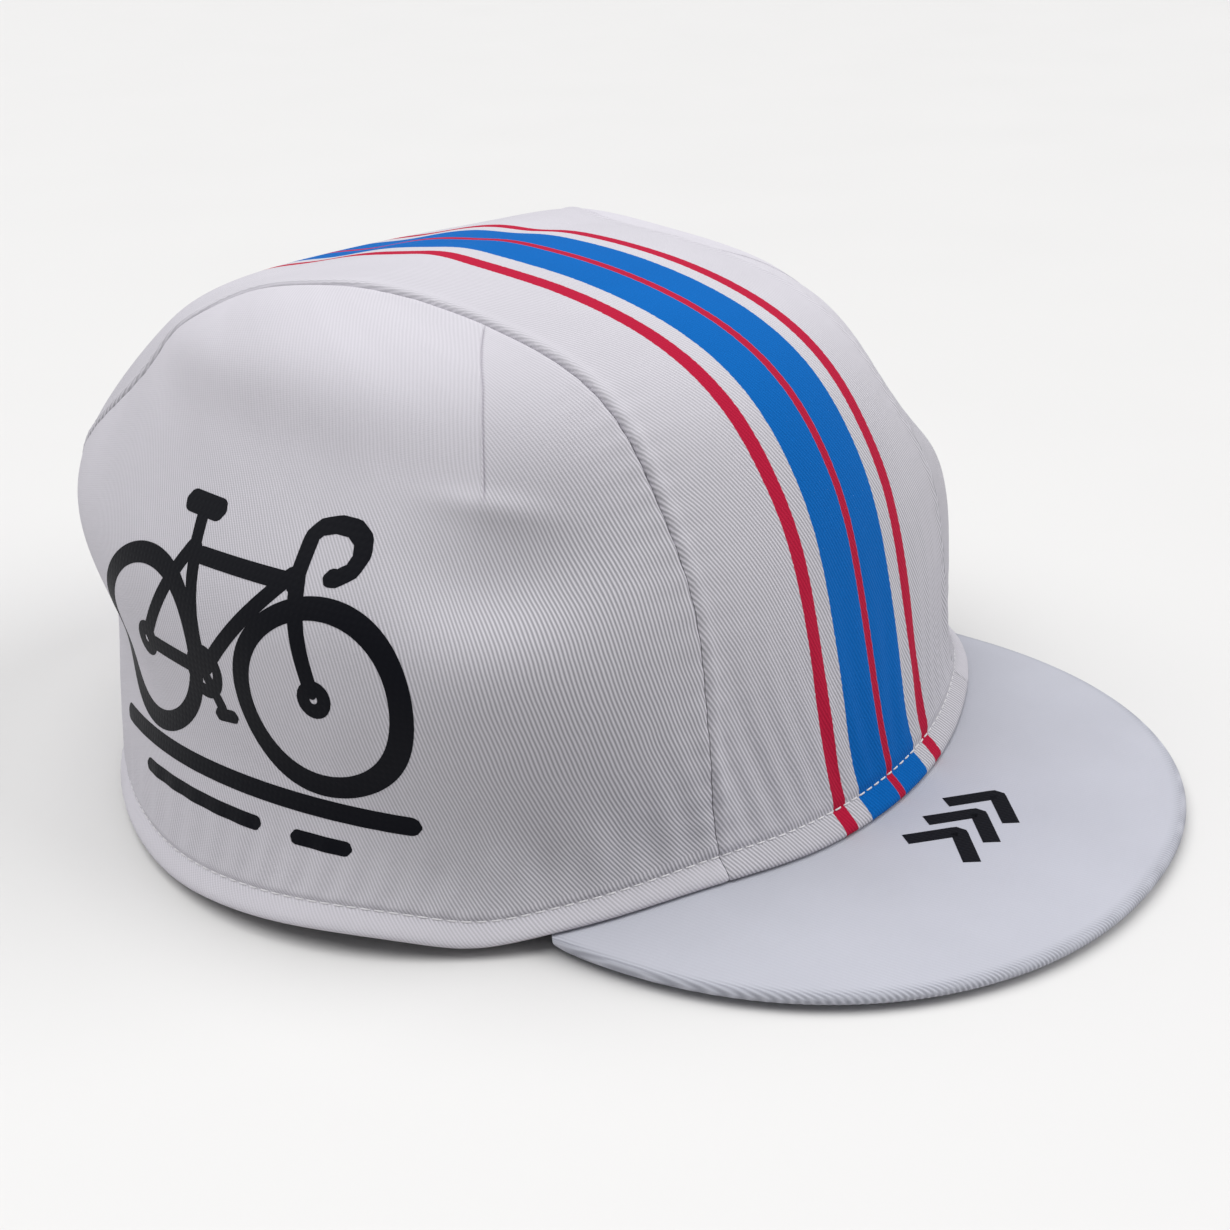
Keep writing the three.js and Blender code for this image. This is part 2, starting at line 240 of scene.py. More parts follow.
# How softly the printed stripes end, in mm, and how much light cotton bends
PRINT_SOFT = 0.07
COTTON_IOR = 1.5

# The peak, in mm: the gap round its covers, how far it is tucked under the hem and shows past it at the
# corners, its outline's exponent, how late its edge rises to the corners, and its covers' thicknesses
PIECE_GAP = 0.3
PEAK_TUCK = 2.8
PEAK_SHOW = 1.5
PEAK_SQUARE = 2.16
CORNER_RISE = 1.6
PEAK_TOP_THICKNESS = 1.6
PEAK_THICKNESS = 3.0
UNDER_TOP = 1.9

# A section's inset from here on is a share of the way in. The corners thin out over this length by this
# share, and the rounded edge takes this much of the way in, or this share of it where that is less.
ACROSS = 100.0
CORNER_LONG = 7
CORNER_TAPER = 0.55
EDGE_PART = 4.0
CORNER_SHARE = 0.45

# The lip, which wraps round the peak's edge, as insets from the edge and depths below the upper face,
# and its ribs: their direction on the flat cloth, from one to the next and half their height
LIP = [
    (1.45, 0.05), (1.25, 0.015), (1.05, 0.02), (0.8, 0.07), (0.58, 0.16), (0.38, 0.28), (0.21, 0.43),
    (0.08, 0.61), (0.0, 0.8), (-0.03, 1.0), (0.0, 1.2), (0.1, 1.38), (0.28, 1.53), (0.6, 1.7), (1.1, 1.95),
    (1.7, 2.25), (2.4, 2.6), (3.2, 2.9), (4.0, 3.0),
]
TOP_STATIONS = 260
LIP_STATIONS = 1500
LIP_PITCH = 0.75
LIP_RIDGE = 0.055
PEAK_RIBS = (-0.99, -0.136)
FACE_RIBS = 0.12

# Edges sharper than this, in degrees, aren't shaded smooth
SHARP = 50

# The seam tapes' edges, as shares of the seams' distance from the middle plane
TAPE_SHARES = (0.86, 0.995)

# The prints: steps and heights over the cloth in mm, and their places
PRINT_STEP = 0.45
PRINT_HIGH = 0.05
PRINT_LOW = -0.2
EMBLEM_PLACE = (86, 0.44)
EMBLEM_SCALE = 1.25
CHEVRON_PLACE = (-0.7, -98.1)
CHEVRON_TURN = 0

# The camera, worked out from the photo: turns in degrees, target and distance in mm, focal length
# in pixels of the photo
PHOTO_SIZE = 1230
SENSOR = 36
CAMERA_TURNS = (52.49, 23.75, -1.53)
CAMERA_TARGET = (14.03, 19.54)
CAMERA_DISTANCE = 346.9
CAMERA_FOCUS = 1637.5

# Soft lights: name, direction that the light comes from, how wide it is in degrees, and strength
LIGHTS = [
    ("overhead", (-0.1, 0.3, 1), 70, 2.6),
    ("left_side", (-0.61, 0.79, 0.45), 50, 0.3),
    ("right_side", (0.55, -0.65, 0.62), 50, 1.7),
]
WORLD_LIGHT = 0.2

# Where the wall begins above the hem in mm, and up to which share of the way up the crown's outward
# direction turns level towards the rim
WALL_FOOT = 6.2
LEVEL_SHARE = 0.15

# How finely the lines over the crown are traced, and how slowly they near their top
LINE_STEPS = 220
TOP_EASE = 0.15

# The hem's section, from the wall down to its foot: height above the rim and place outside the cloth's
# outer face, both in mm, first on the outside and then on the inside. The stitches pull it in.
HEM_OUTSIDE = [
    (5.7, 0.02), (5.3, 0.0), (4.95, -0.08), (4.65, -0.24), (4.4, -0.37), (4.2, -0.4), (4.0, -0.32),
    (3.75, -0.1), (3.4, 0.15), (2.9, 0.45), (2.3, 0.75), (1.7, 1.0), (1.15, 1.1), (0.7, 1.02),
    (0.35, 0.8), (0.1, 0.45), (0, 0),
]
HEM_INSIDE = [
    (5.7, -1.2), (5.3, -1.25), (4.95, -1.35), (4.65, -1.5), (4.4, -1.65), (4.2, -1.75), (4.0, -1.85),
    (3.75, -2.0), (3.4, -2.12), (2.9, -2.2), (2.3, -2.2), (1.7, -2.2), (1.15, -2.15), (0.7, -2.05),
    (0.35, -1.85), (0.1, -1.5), (0, -1.1),
]


def spline(at, value, end_slope=None):
    """A natural cubic spline, or one whose slope at its last point is given."""
    at, value = np.array(at, float), np.array(value, float)
    step, count = np.diff(at), len(at)
    slope = np.diff(value) / step
    system, right = np.eye(count), np.zeros(count)
    for i in range(1, count - 1):
        system[i, i - 1 : i + 2] = step[i - 1], 2 * (step[i - 1] + step[i]), step[i]
        right[i] = 6 * (slope[i] - slope[i - 1])
    if end_slope is not None:
        system[-1, -2:] = step[-1], 2 * step[-1]
        right[-1] = 6 * (end_slope - slope[-1])
    bend = np.linalg.solve(system, right)

    def read(x):
        i = np.clip(np.searchsorted(at, x) - 1, 0, count - 2)
        far = (x - at[i]) / step[i]
        near = 1 - far
        sag = ((near**3 - near) * bend[i] + (far**3 - far) * bend[i + 1]) * step[i] ** 2 / 6
        return near * value[i] + far * value[i + 1] + sag

    return read


COLUMNS = {
    key: spline([s[0] for s in SECTIONS], [s[i] for s in SECTIONS], 0 if key == "rise" else None)
    for i, key in enumerate(SECTION_KEYS)
    if i
}


def smoothstep(x, low, high):
    share = np.clip((x - low) / (high - low), 0, 1)
    return share * share * (3 - 2 * share)


def hump(distance, wide):
    """1 at no distance, falling softly to either side."""
    return np.exp(-((distance / wide) ** 2))


def ripples(along, pitch, uneven, spread):
    """Ripples that are pitch mm apart and a little uneven over longer stretches."""
    return np.sin(along * 2 * np.pi / pitch + uneven * np.sin(along / spread))


def rim_lift(angle, size):
    """How far the rim rises off the floor."""
    lift = (size["front_lift"] + size["foot_press"]) * (1 + np.cos(angle)) / 2
    lift = lift + size["side_lift"] * np.sin(angle) ** 2
    from_front = np.degrees(np.arccos(np.cos(angle)))
    for middle, wide, rise in RIM_WAVES:
        lift = lift + rise * np.exp(-(((from_front - middle) / wide) ** 2))
    return np.maximum(0, lift - size["foot_press"])


def crown_point(angle, up, size):
    """A point of the crown's outer face. angle turns from the front over the wearer's right side."""
    column = {key: read(up) for key, read in COLUMNS.items()}
    cos, sin, power = np.cos(angle), np.sin(angle), 2 / column["square"]
    along = np.sign(cos) * np.abs(cos) ** power
    across = np.sign(sin) * np.abs(sin) ** power
    front, back = column["front"] * size["rim_front"], column["back"] * size["rim_back"]
    return np.stack(
        [
            -column["side"] * size["rim_side"] * across * (1 + column["taper"] * along),
            (back - front) / 2 - (back + front) / 2 * along,
            (column["rise"] + column["lean"] * along) * size["crown_height"]
            + rim_lift(angle, size) * (1 - up) ** 2,
        ],
        -1,
    )


def crown_normal(angle, up, size):
    step = 0.002
    around = crown_point(angle + step, up, size) - crown_point(angle - step, up, size)
    low, high = np.maximum(0, up - step), np.minimum(1, up + step)
    normal = np.cross(crown_point(angle, high, size) - crown_point(angle, low, size), around)
    normal[..., 2] *= np.minimum(1, up / LEVEL_SHARE)
    return normal / np.maximum(1e-9, np.linalg.norm(normal, axis=-1, keepdims=True))


def dent_depth(angle, up):
    """The depth of all dents, in mm."""
    forward = (1 - up) * np.cos(angle)
    signed = (1 - up) * np.sin(angle)
    depth = np.zeros(np.broadcast(angle, up).shape)
    for side, middle, dent_up, long, wide, turn, deep in DENTS:
        bearing = math.radians(middle)
        right = np.abs(signed) if side == 0 else -side * signed
        off_right = right - (1 - dent_up) * math.sin(bearing)
        off_forward = forward - (1 - dent_up) * math.cos(bearing)
        heading = bearing + math.radians(turn)
        lengthwise = (off_right * math.sin(heading) + off_forward * math.cos(heading)) / long
        sideways = (off_right * math.cos(heading) - off_forward * math.sin(heading)) / wide
        depth += deep * np.exp(-(lengthwise**2) - sideways**2)
    return depth * np.minimum(1, up / LEVEL_SHARE)


def share_per_mm(angle, size):
    """The share of the way up that one mm above the rim is."""
    step = 0.02
    reach = crown_point(angle, step, size) - crown_point(angle, 0 * angle, size)
    return step / np.linalg.norm(reach, axis=-1)


def up_of(angle, high, height, size):
    """The share of the way up of a place high shares above the point height mm above the rim."""
    return high + (1 - high) * height * share_per_mm(angle, size)


def seam_distance(place, size):
    """How far the seams lie from the middle plane, beside each place."""
    y, z = place[..., 1], place[..., 2]
    front = np.maximum(0, (-y / size["rim_front"] - 0.43) / 0.47) ** 2
    back = smoothstep(y / size["rim_back"], -0.06, 0.68)
    drawn_in = (size["seam_back"] - size["seam_back_hem"]) * np.maximum(0, 1 - z / size["back_corner"])
    spread = (size["seam_front"] - size["seam_top"]) * front
    return size["seam_top"] + spread + (size["seam_back"] - drawn_in - size["seam_top"]) * back


def seam_share(angle, high, height, size):
    """How far from the middle plane a place lies, as a share of the seam's distance there."""
    place = crown_point(angle, up_of(angle, high, height, size), size)
    return np.abs(place[..., 0]) / seam_distance(place, size)


def dart_bearing(up):
    """The dart's angle from the front, in radians."""
    return np.radians(np.interp(up, DART_UP, DART_ANGLE))


class SeamMap:
    """Finds where lines at a set share of the seams' distance cross the crown's rows."""

    def __init__(self, size):
        self.size = size
        angles = np.linspace(0, np.pi, 361)
        self.high = np.linspace(0, 0.999, 500)
        share = seam_share(angles[None], self.high[:, None], WALL_FOOT, size)
        widest = np.clip(share.argmax(1), 1, len(angles) - 2)
        rows = np.arange(len(self.high))
        before, middle, after = (share[rows, widest + k] for k in (-1, 0, 1))
        offset = (before - after) / (2 * (before - 2 * middle + after) - 1e-12)
        self.widest = angles[widest] + np.clip(offset, -1, 1) * angles[1]
        self.most = middle - (before - after) * offset / 4

    def top_of(self, share):
        """The row on which a line at this share of the seams' distance turns over the top."""
        highest = np.interp(share, self.most[::-1], self.high[::-1])
        return np.where(np.asarray(share) <= self.most[-1], 1.0, highest)

    def cross(self, share, high, height, back):
        share, high, height = np.broadcast_arrays(share, high, height)
        widest = np.interp(high, self.high, self.widest)
        low, top = (widest.copy(), np.full(high.shape, np.pi)) if back else (0 * widest, widest.copy())
        for _ in range(30):
            middle = (low + top) / 2
            inside = seam_share(middle, high, height, self.size) < share
            to_low = ~inside if back else inside
            low, top = np.where(to_low, middle, low), np.where(to_low, top, middle)
        return (low + top) / 2


def along_line(points):
    """The lengths from the first point to each point, along the second last axis."""
    steps = np.linalg.norm(np.diff(points, axis=-2), axis=-1)
    return np.concatenate([np.zeros((*steps.shape[:-1], 1)), np.cumsum(steps, -1)], -1)


def eased(share):
    """From 0 to 1, slowly at first, as a line nears the place where it turns over the top."""
    return share**2 * (1 + TOP_EASE) / (share + TOP_EASE)


def crown_lines(shares, seam_map, rows):
    """Lines from the front hem over the top to the back hem, each at a share of the seams' distance.

    Gives angles and shares of the way up of the wall's rows, for each line.
    """
    size = seam_map.size
    steps = np.linspace(1, 0, LINE_STEPS)[None]
    share = np.abs(np.asarray(shares))[:, None]
    high = seam_map.top_of(share) * (1 - eased(steps))
    front = seam_map.cross(share, high, WALL_FOOT, False)
    back = seam_map.cross(share, high, WALL_FOOT, True)
    angle = np.concatenate([front, back[:, ::-1]], 1)
    high = np.concatenate([high, high[:, ::-1]], 1)
    path = along_line(crown_point(angle, up_of(angle, high, WALL_FOOT, size), size))
    wanted = np.linspace(0, 1, rows)
    angles, highs = np.empty((len(path), rows)), np.empty((len(path), rows))
    for i, reach in enumerate(path):
        angles[i] = np.interp(wanted * reach[-1], reach, angle[i])
        highs[i] = np.interp(wanted * reach[-1], reach, high[i])
    return angles, highs


class Line:
    """A line of points, which knows how near a place is."""

    def __init__(self, points):
        self.points = points
        self.reach = along_line(points)

    def near(self, places):
        """The distance of each place from the line, and how far along the line it lies."""
        flat = places.reshape(-1, 3)
        distance, along = np.full(len(flat), 1e9), np.zeros(len(flat))
        for start in range(0, len(flat), 4000):
            rows = slice(start, start + 4000)
            part = flat[rows]
            gaps = ((part[:, None] - self.points[None]) ** 2).sum(-1)
            nearest = np.clip(gaps.argmin(1), 1, len(self.points) - 2)
            for first in (nearest - 1, nearest):
                a, b = self.points[first], self.points[first + 1]
                share = ((part - a) * (b - a)).sum(-1) / ((b - a) ** 2).sum(-1)
                share = np.clip(share, 0, 1)
                gap = np.linalg.norm(part - a - (b - a) * share[:, None], axis=-1)
                closer = gap < distance[rows]
                reach = self.reach[first] + (self.reach[first + 1] - self.reach[first]) * share
                along[rows] = np.where(closer, reach, along[rows])
                distance[rows] = np.minimum(gap, distance[rows])
        return distance.reshape(places.shape[:-1]), along.reshape(places.shape[:-1])


class Crown:
    """The crown's cloth, with its dents, the roll of its seams and the ripples beside its stitches."""

    def __init__(self):
        self.size = sizes()
        self.map = SeamMap(self.size)
        self.seam = Line(self.seam_points())
        up = np.linspace(DART_UP[-1], DART_UP[0], DART_STEPS)
        self.dart = Line(self.folded(crown_point(dart_bearing(up), up, self.size)))
        angles = np.linspace(0, np.pi, 721)
        self.rim_angles = angles
        self.rim_reach = along_line(crown_point(angles, 0 * angles, self.size))

    @staticmethod
    def folded(places):
        """The places, those of the wearer's left side moved to the right side."""
        return np.concatenate([-np.abs(places[..., :1]), places[..., 1:]], -1)

    def seam_points(self):
        """The seam of the wearer's right side, from the front hem to the back hem."""
        angles, highs = crown_lines([1.0], self.map, SEAM_STEPS)
        heights = np.linspace(0, WALL_FOOT, 24)[:-1]
        foot = [self.map.cross(1.0, 0.0, heights, back) for back in (False, True)]
        angle = np.concatenate([foot[0], angles[0], foot[1][::-1]])
        high = np.concatenate([0 * heights, highs[0], 0 * heights])
        height = np.concatenate([heights, np.full(SEAM_STEPS, WALL_FOOT), heights[::-1]])
        return self.folded(crown_point(angle, up_of(angle, high, height, self.size), self.size))

    def relief(self, angle, up, on_centre):
        """How far the cloth's small forms stand out from the dented crown."""
        base = self.folded(crown_point(angle, up, self.size))
        height = up / share_per_mm(angle, self.size)
        away, along = self.seam.near(base)
        groove = SEAM_GROOVE_LOW + SEAM_GROOVE_RISE * smoothstep(base[..., 2], 50, 75)
        relief = -groove * hump(away, SEAM_GROOVE_WIDE)
        ridge = SEAM_RIDGE_CENTRE if on_centre else SEAM_RIDGE_SIDE
        relief += ridge * smoothstep(height, 3.5, 6) * hump(away - 1.5, 1.2)
        # Soft waves beside the seams, stronger in front
        front = smoothstep(-base[..., 1], 5, 45)
        low = smoothstep(-base[..., 2], -92, -78)
        relief += (0.04 + 0.08 * front) * low * ripples(along, *SEAM_WAVES) * np.exp(-away / 4.5)
        if on_centre:
            # Short slanting puckers, where the cloth is gathered over the seam
            high = smoothstep(base[..., 2], 48, 66)
            uneven = 0.6 + 0.4 * np.sin(along / 3.7)
            puckers = np.sin((along + PUCKER_SLANT * away) * 2 * np.pi / PUCKER_PITCH + np.sin(along / 5))
            relief += PUCKER_HIGH * high * uneven * puckers * hump(away - 0.9, 1.3)
        # The stitches pull at the cloth above the hem, and the hem's roll is uneven
        turned = np.abs(np.arctan2(np.sin(angle), np.cos(angle)))
        around = np.interp(turned, self.rim_angles, self.rim_reach)
        pull = ripples(around, *HEM_PULLS) * hump(height - 8, 7) * smoothstep(height, 4.3, 6.3)
        relief += HEM_PULL_HIGH * pull
        relief += HEM_ROLL_HIGH * ripples(around, *HEM_ROLLS) * hump(height - 2.4, 1.6)
        if not on_centre:
            away, along = self.dart.near(base)
            behind = smoothstep(turned - dart_bearing(up), -0.002, 0.002)
            fade = smoothstep(self.dart.reach[-1] + 1 - along - away, 0, 2)
            fold = 0.1 + 0.16 * behind
            relief += (fold * np.exp(-away / 1.6) - DART_GROOVE * hump(away, DART_GROOVE_WIDE)) * fade
        return relief

    def place(self, angle, up, out, on_centre=False, follow=1.0):
        """Points that lie out mm outside the cloth's outer face. follow is the share of the small forms."""
        offset = out - dent_depth(angle, up) + follow * self.relief(angle, up, on_centre)
        return crown_point(angle, up, self.size) + crown_normal(angle, up, self.size) * offset[..., None]


# Meshes

def frame_shift():
    """How far the middle of the head opening lies behind the frame's origin, in mm."""
    size = sizes()
    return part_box("peak_top")[0].y / MM + size["rim_front"] + size["peak_reach"]


def mesh_object(name, points, faces, material, values=None):
    """A smooth mesh piece from points in mm. values are its vertices' vectors by attribute name."""
    mesh = bpy.data.meshes.new(name)
    places = (np.asarray(points) + [0, frame_shift(), 0]) * MM
    # Nothing sinks into the floor
    places[:, 2] = np.maximum(places[:, 2], 0)
    mesh.from_pydata(places, [], faces)
    for key, value in (values or {}).items():
        layer = mesh.attributes.new(key, "FLOAT_VECTOR", "POINT")
        layer.data.foreach_set("vector", np.asarray(value, np.float32).ravel())
    mesh.shade_smooth()
    mesh.set_sharp_from_angle(angle=math.radians(SHARP))
    mesh.materials.append(material)
    if mesh.validate():
        raise RuntimeError(f"The mesh of {name} has faults")
    piece = bpy.data.objects.new(name, mesh)
    bpy.context.collection.objects.link(piece)
    return piece


def strip(rows, columns, start=0, flip=False):
    """The quads of a grid of points."""
    index = np.arange(rows * columns).reshape(rows, columns) + start
    quads = np.stack([index[:-1, :-1], index[:-1, 1:], index[1:, 1:], index[1:, :-1]], -1).reshape(-1, 4)
    return quads[:, ::-1] if flip else quads


def shell(outer, inner):
    """Points and quads of a closed shell between two grids of equal size, joined round their borders."""
    rows, columns = outer.shape[:2]
    count = rows * columns
    index = np.arange(count).reshape(rows, columns)
    border = np.concatenate([index[0], index[1:, -1], index[-1, -2::-1], index[-2:0:-1, 0]])
    after = np.roll(border, -1)
    edge = np.stack([border, border + count, after + count, after], -1)
    faces = np.concatenate([strip(rows, columns), strip(rows, columns, count, True), edge])
    return np.concatenate([outer.reshape(-1, 3), inner.reshape(-1, 3)]), faces.tolist()


def twice(values):
    """A grid's vectors, for the outer and for the inner side."""
    flat = values.reshape(-1, 3)
    return np.concatenate([flat, flat])


def ride(piece, slot=None):
    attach(piece, "root")
    return piece


# Materials

def add(tree, kind, inputs=None, **settings):
    """Adds a shader node. In inputs, a socket is linked and any other value is set on the socket."""
    node = tree.nodes.new(f"ShaderNode{kind}")
    for key, value in settings.items():
        setattr(node, key, value)
    for key, value in (inputs or {}).items():
        if isinstance(value, bpy.types.NodeSocket):
            tree.links.new(value, node.inputs[key])
        else:
            node.inputs[key].default_value = value
    return node.outputs


def maths(tree, operation, first, second=0.0, third=0.0):
    return add(tree, "Math", {0: first, 1: second, 2: third}, operation=operation)[0]


def blend(tree, share, first, second, kind="MIX"):
    """Mixes two colours by a share."""
    return add(tree, "Mix", {0: share, 6: first, 7: second}, data_type="RGBA", blend_type=kind)[2]


def band(tree, value, low, high, soft):
    """1 where a value lies between low and high, with soft edges."""
    inside = add(tree, "MapRange", {0: value, 1: low - soft, 2: low + soft, 3: 0.0, 4: 1.0})[0]
    past = add(tree, "MapRange", {0: value, 1: high - soft, 2: high + soft, 3: 1.0, 4: 0.0})[0]
    return maths(tree, "MULTIPLY", inside, past)


def new_material(name):
    material = bpy.data.materials.new(name)
    material.use_nodes = True
    material.node_tree.nodes.clear()
    return material


def surface(tree, base, bump, roughness, sheen):
    """The shader of a material, with the faint sheen of cotton's fuzz."""
    shader = add(
        tree,
        "BsdfPrincipled",
        {
            "Base Color": base,
            "Roughness": roughness,
            "Normal": bump,
            "IOR": COTTON_IOR,
            "Sheen Weight": sheen,
            "Sheen Roughness": 0.5,
            "Specular IOR Level": 0.06,
        },
    )[0]
    add(tree, "OutputMaterial", {0: shader})


def twill(name, printed, tone=None, groove_shade_tone=None):
    """Cotton twill: slanting ribs with fine threads across them, slightly uneven, with painted shade in the
    grooves between the ribs. The stripes are printed.
    """
    colours = bpy.context.scene.cap_colours
    size = sizes()
    material = new_material(name)
    tree = material.node_tree
    weave = add(tree, "Attribute", attribute_name="twill")[1]
    cloth = add(tree, "Attribute", attribute_name="cloth")[1]
    across, along, strength = add(tree, "SeparateXYZ", {0: weave})[0:3]
    # The ribs wander a little, so that they don't look ruled
    wander = add(tree, "TexNoise", {"Vector": cloth, "Scale": 0.09, "Detail": 2.0})[0]
    shifted = maths(tree, "MULTIPLY_ADD", wander, 0.8, across)
    place = add(tree, "CombineXYZ", {0: shifted, 1: along})[0]
    ribs = add(tree, "TexWave", {"Vector": place, "Scale": WAVE_SCALE / size["twill_pitch"]})[1]
    # Threads across the ribs, drawn about twice as coarse as real ones so that they show at all
    threads = add(
        tree, "TexWave", {"Vector": place, "Scale": WAVE_SCALE / THREAD_PITCH}, bands_direction="Y"
    )[1]
    slubs = add(tree, "TexNoise", {"Vector": place, "Scale": 1.1, "Detail": 3.0})[0]
    # Painted shade: the grooves between the ribs take the darker groove tone, as strongly as the ribs show
    groove = maths(tree, "MULTIPLY", maths(tree, "SUBTRACT", 1.0, ribs), strength)
    base = blend(tree, groove, tone or colours.cloth, groove_shade_tone or colours.cloth_groove_shade)
    if printed:
        x = add(tree, "SeparateXYZ", {0: cloth})[0]
        ragged = add(tree, "TexNoise", {"Vector": cloth, "Scale": 1.7, "Detail": 2.0})[0]
        edge = maths(tree, "MULTIPLY_ADD", maths(tree, "SUBTRACT", ragged, 0.5), 0.35, x)
        beside = maths(tree, "ABSOLUTE", edge)
        half_red = size["red_line_width"] / 2
        half_middle = size["middle_line_width"] / 2
        blue = band(tree, beside, half_middle, size["blue_half_width"], PRINT_SOFT)
        red = maths(
            tree,
            "MAXIMUM",
            band(tree, beside, size["red_line_at"] - half_red, size["red_line_at"] + half_red, PRINT_SOFT),
            band(tree, beside, -1.0, half_middle, PRINT_SOFT),
        )
        # The print is painted a little darker in the grooves between the ribs: painted shade
        shaded_ink = blend(tree, maths(tree, "MULTIPLY", groove, 0.3), colours.blue, linear("#08488C"))
        base = blend(tree, blue, base, shaded_ink)
        shaded_ink = blend(tree, maths(tree, "MULTIPLY", groove, 0.3), colours.red, linear("#86142C"))
        base = blend(tree, red, base, shaded_ink)
    # Broad, faint differences in tone, as handled cotton has
    mottle = add(tree, "TexNoise", {"Vector": cloth, "Scale": 0.045, "Detail": 4.0})[0]
    shade = add(tree, "MapRange", {0: mottle, 1: 0.3, 2: 0.7, 3: 0.965, 4: 1.02})[0]
    grey = add(tree, "CombineColor", {0: shade, 1: shade, 2: shade})[0]
    base = blend(tree, 1.0, base, grey, "MULTIPLY")
    relief = maths(tree, "MULTIPLY_ADD", threads, 0.22, maths(tree, "MULTIPLY", ribs, strength))
    relief = maths(tree, "MULTIPLY_ADD", slubs, 0.35, relief)
    bump = add(tree, "Bump", {"Strength": 0.55, "Distance": 0.12 * MM, "Height": relief})[0]
    surface(tree, base, bump, 0.88, 0.03)
    return material


def plain_cloth(name, tone, pitch, depth, roughness, sheen, ribs=False):
    """Finely woven cotton, or thread: two crossing sets of fine threads and faint fuzz, with faint painted
    shade where they lie low.
    """
    material = new_material(name)
    tree = material.node_tree
    place = add(tree, "Attribute", attribute_name="cloth")[1]
    warp = add(tree, "TexWave", {"Vector": place, "Scale": WAVE_SCALE / pitch, "Distortion": 0.3})[1]
    weft = add(
        tree,
        "TexWave",
        {"Vector": place, "Scale": WAVE_SCALE / pitch, "Distortion": 0.3},
        bands_direction="Y",
    )[1]
    fuzz = add(tree, "TexNoise", {"Vector": place, "Scale": 0.9 / pitch, "Detail": 4.0})[0]
    broad = add(tree, "TexNoise", {"Vector": place, "Scale": 0.03, "Detail": 3.0})[0]
    woven = warp if ribs else maths(tree, "MULTIPLY", warp, weft)
    height = maths(tree, "MULTIPLY_ADD", fuzz, 0.6, woven)
    shade = add(tree, "MapRange", {0: broad, 1: 0.3, 2: 0.7, 3: 0.97, 4: 1.02})[0]
    # Painted shade: the tone is a little darker where the weave lies low, and the fuzz varies it at random
    fine = add(tree, "MapRange", {0: height, 1: 0.0, 2: 1.6, 3: 0.95, 4: 1.03})[0]
    value = maths(tree, "MULTIPLY", shade, fine)
    grey = add(tree, "CombineColor", {0: value, 1: value, 2: value})[0]
    base = blend(tree, 1.0, tone, grey, "MULTIPLY")
    bump = add(tree, "Bump", {"Strength": 0.5, "Distance": depth * MM, "Height": height})[0]
    surface(tree, base, bump, roughness, sheen)
    return material


# The crown's panels

def hem_rows(section):
    """The heights and the places outside the cloth of a hem's section, from its foot up."""
    return np.array(section[::-1]).T


def centre_grid(crown):
    """Angles, shares of the way up and heights of the centre panel's grid, with the row counts."""
    steps = np.linspace(-1, 1, CENTRE_COLUMNS)
    shares = CENTRE_EDGE * (steps + 0.7 * np.sin(np.pi * steps) / np.pi)
    wall, high = crown_lines(shares, crown.map, CENTRE_ROWS)
    heights, _ = hem_rows(HEM_OUTSIDE)
    foot = [crown.map.cross(np.abs(shares)[:, None], 0.0, heights[None], back) for back in (False, True)]
    angle = np.concatenate([foot[0], wall, foot[1][:, ::-1]], 1)
    none = np.zeros_like(foot[0])
    high = np.concatenate([none, high, none], 1)
    height = np.concatenate([none + heights, np.full(wall.shape, WALL_FOOT), (none + heights)[:, ::-1]], 1)
    signed = angle * np.where(shares < 0, 1, -1)[:, None]
    return signed.T, high.T, height.T


def out_of_rows(section, wall_out, rows, both_ends):
    """How far each row of a panel lies outside the cloth's outer face."""
    _, out = hem_rows(section)
    parts = [out, np.full(rows, wall_out)] + ([out[::-1]] if both_ends else [])
    return np.concatenate(parts)[:, None]


def build_panel(crown, name, slot, grid, wall_rows, coordinates, material, flip):
    """Builds a panel's cloth as a closed shell. coordinates are its grid's vectors by attribute name."""
    angle, high, height = grid
    up = up_of(angle, high, height, crown.size)
    on_centre = slot == "striped_twill"
    outside = out_of_rows(HEM_OUTSIDE, 0, wall_rows, on_centre)
    inside = out_of_rows(HEM_INSIDE, -crown.size["cloth_wall"], wall_rows, on_centre)
    outer = crown.place(angle, up, outside + 0 * up, on_centre)
    inner = crown.place(angle, up, inside + 0 * up, on_centre, INNER_FOLLOW)
    points, faces = shell(outer, inner)
    if flip:
        faces = [face[::-1] for face in faces]
    values = {key: twice(value) for key, value in coordinates.items()}
    piece = ride(mesh_object(name, points, faces, material, values), slot)
    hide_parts(name.removesuffix("_cloth"))
    return piece


class CAP_OT_centre_panel(bpy.types.Operator):
    """Builds the centre panel, with its printed stripes"""

    bl_idname = "cap.centre_panel"
    bl_label = "Centre panel"

    def execute(self, context):
        crown = Crown()
        angle, high, height = centre_grid(crown)
        up = up_of(angle, high, height, crown.size)
        base = crown_point(angle, up, crown.size)
        along = along_line(np.moveaxis(base, 0, 1)).T
        slip = HEM_SLIP * (height < SEAM_OF_HEM)
        cloth = np.stack([base[..., 0] + slip, along, height], -1)
        lean = math.radians(CENTRE_RIB_ANGLE)
        weave = np.stack(
            [
                base[..., 0] * math.sin(lean) + along * math.cos(lean),
                base[..., 0] * math.cos(lean) - along * math.sin(lean),
                0.85 * rib_strength(base[..., 2]),
            ],
            -1,
        )
        piece = build_panel(
            crown,
            "centre_panel_cloth",
            "striped_twill",
            (angle, high, height),
            CENTRE_ROWS,
            {"cloth": cloth, "twill": weave},
            twill("printed_cotton_twill", True),
            True,
        )
        return {"FINISHED"}


def rib_strength(z):
    """The ribs are faint on the top, where the light falls straight on them."""
    return 1 - 0.55 * smoothstep(z, 62, 90)


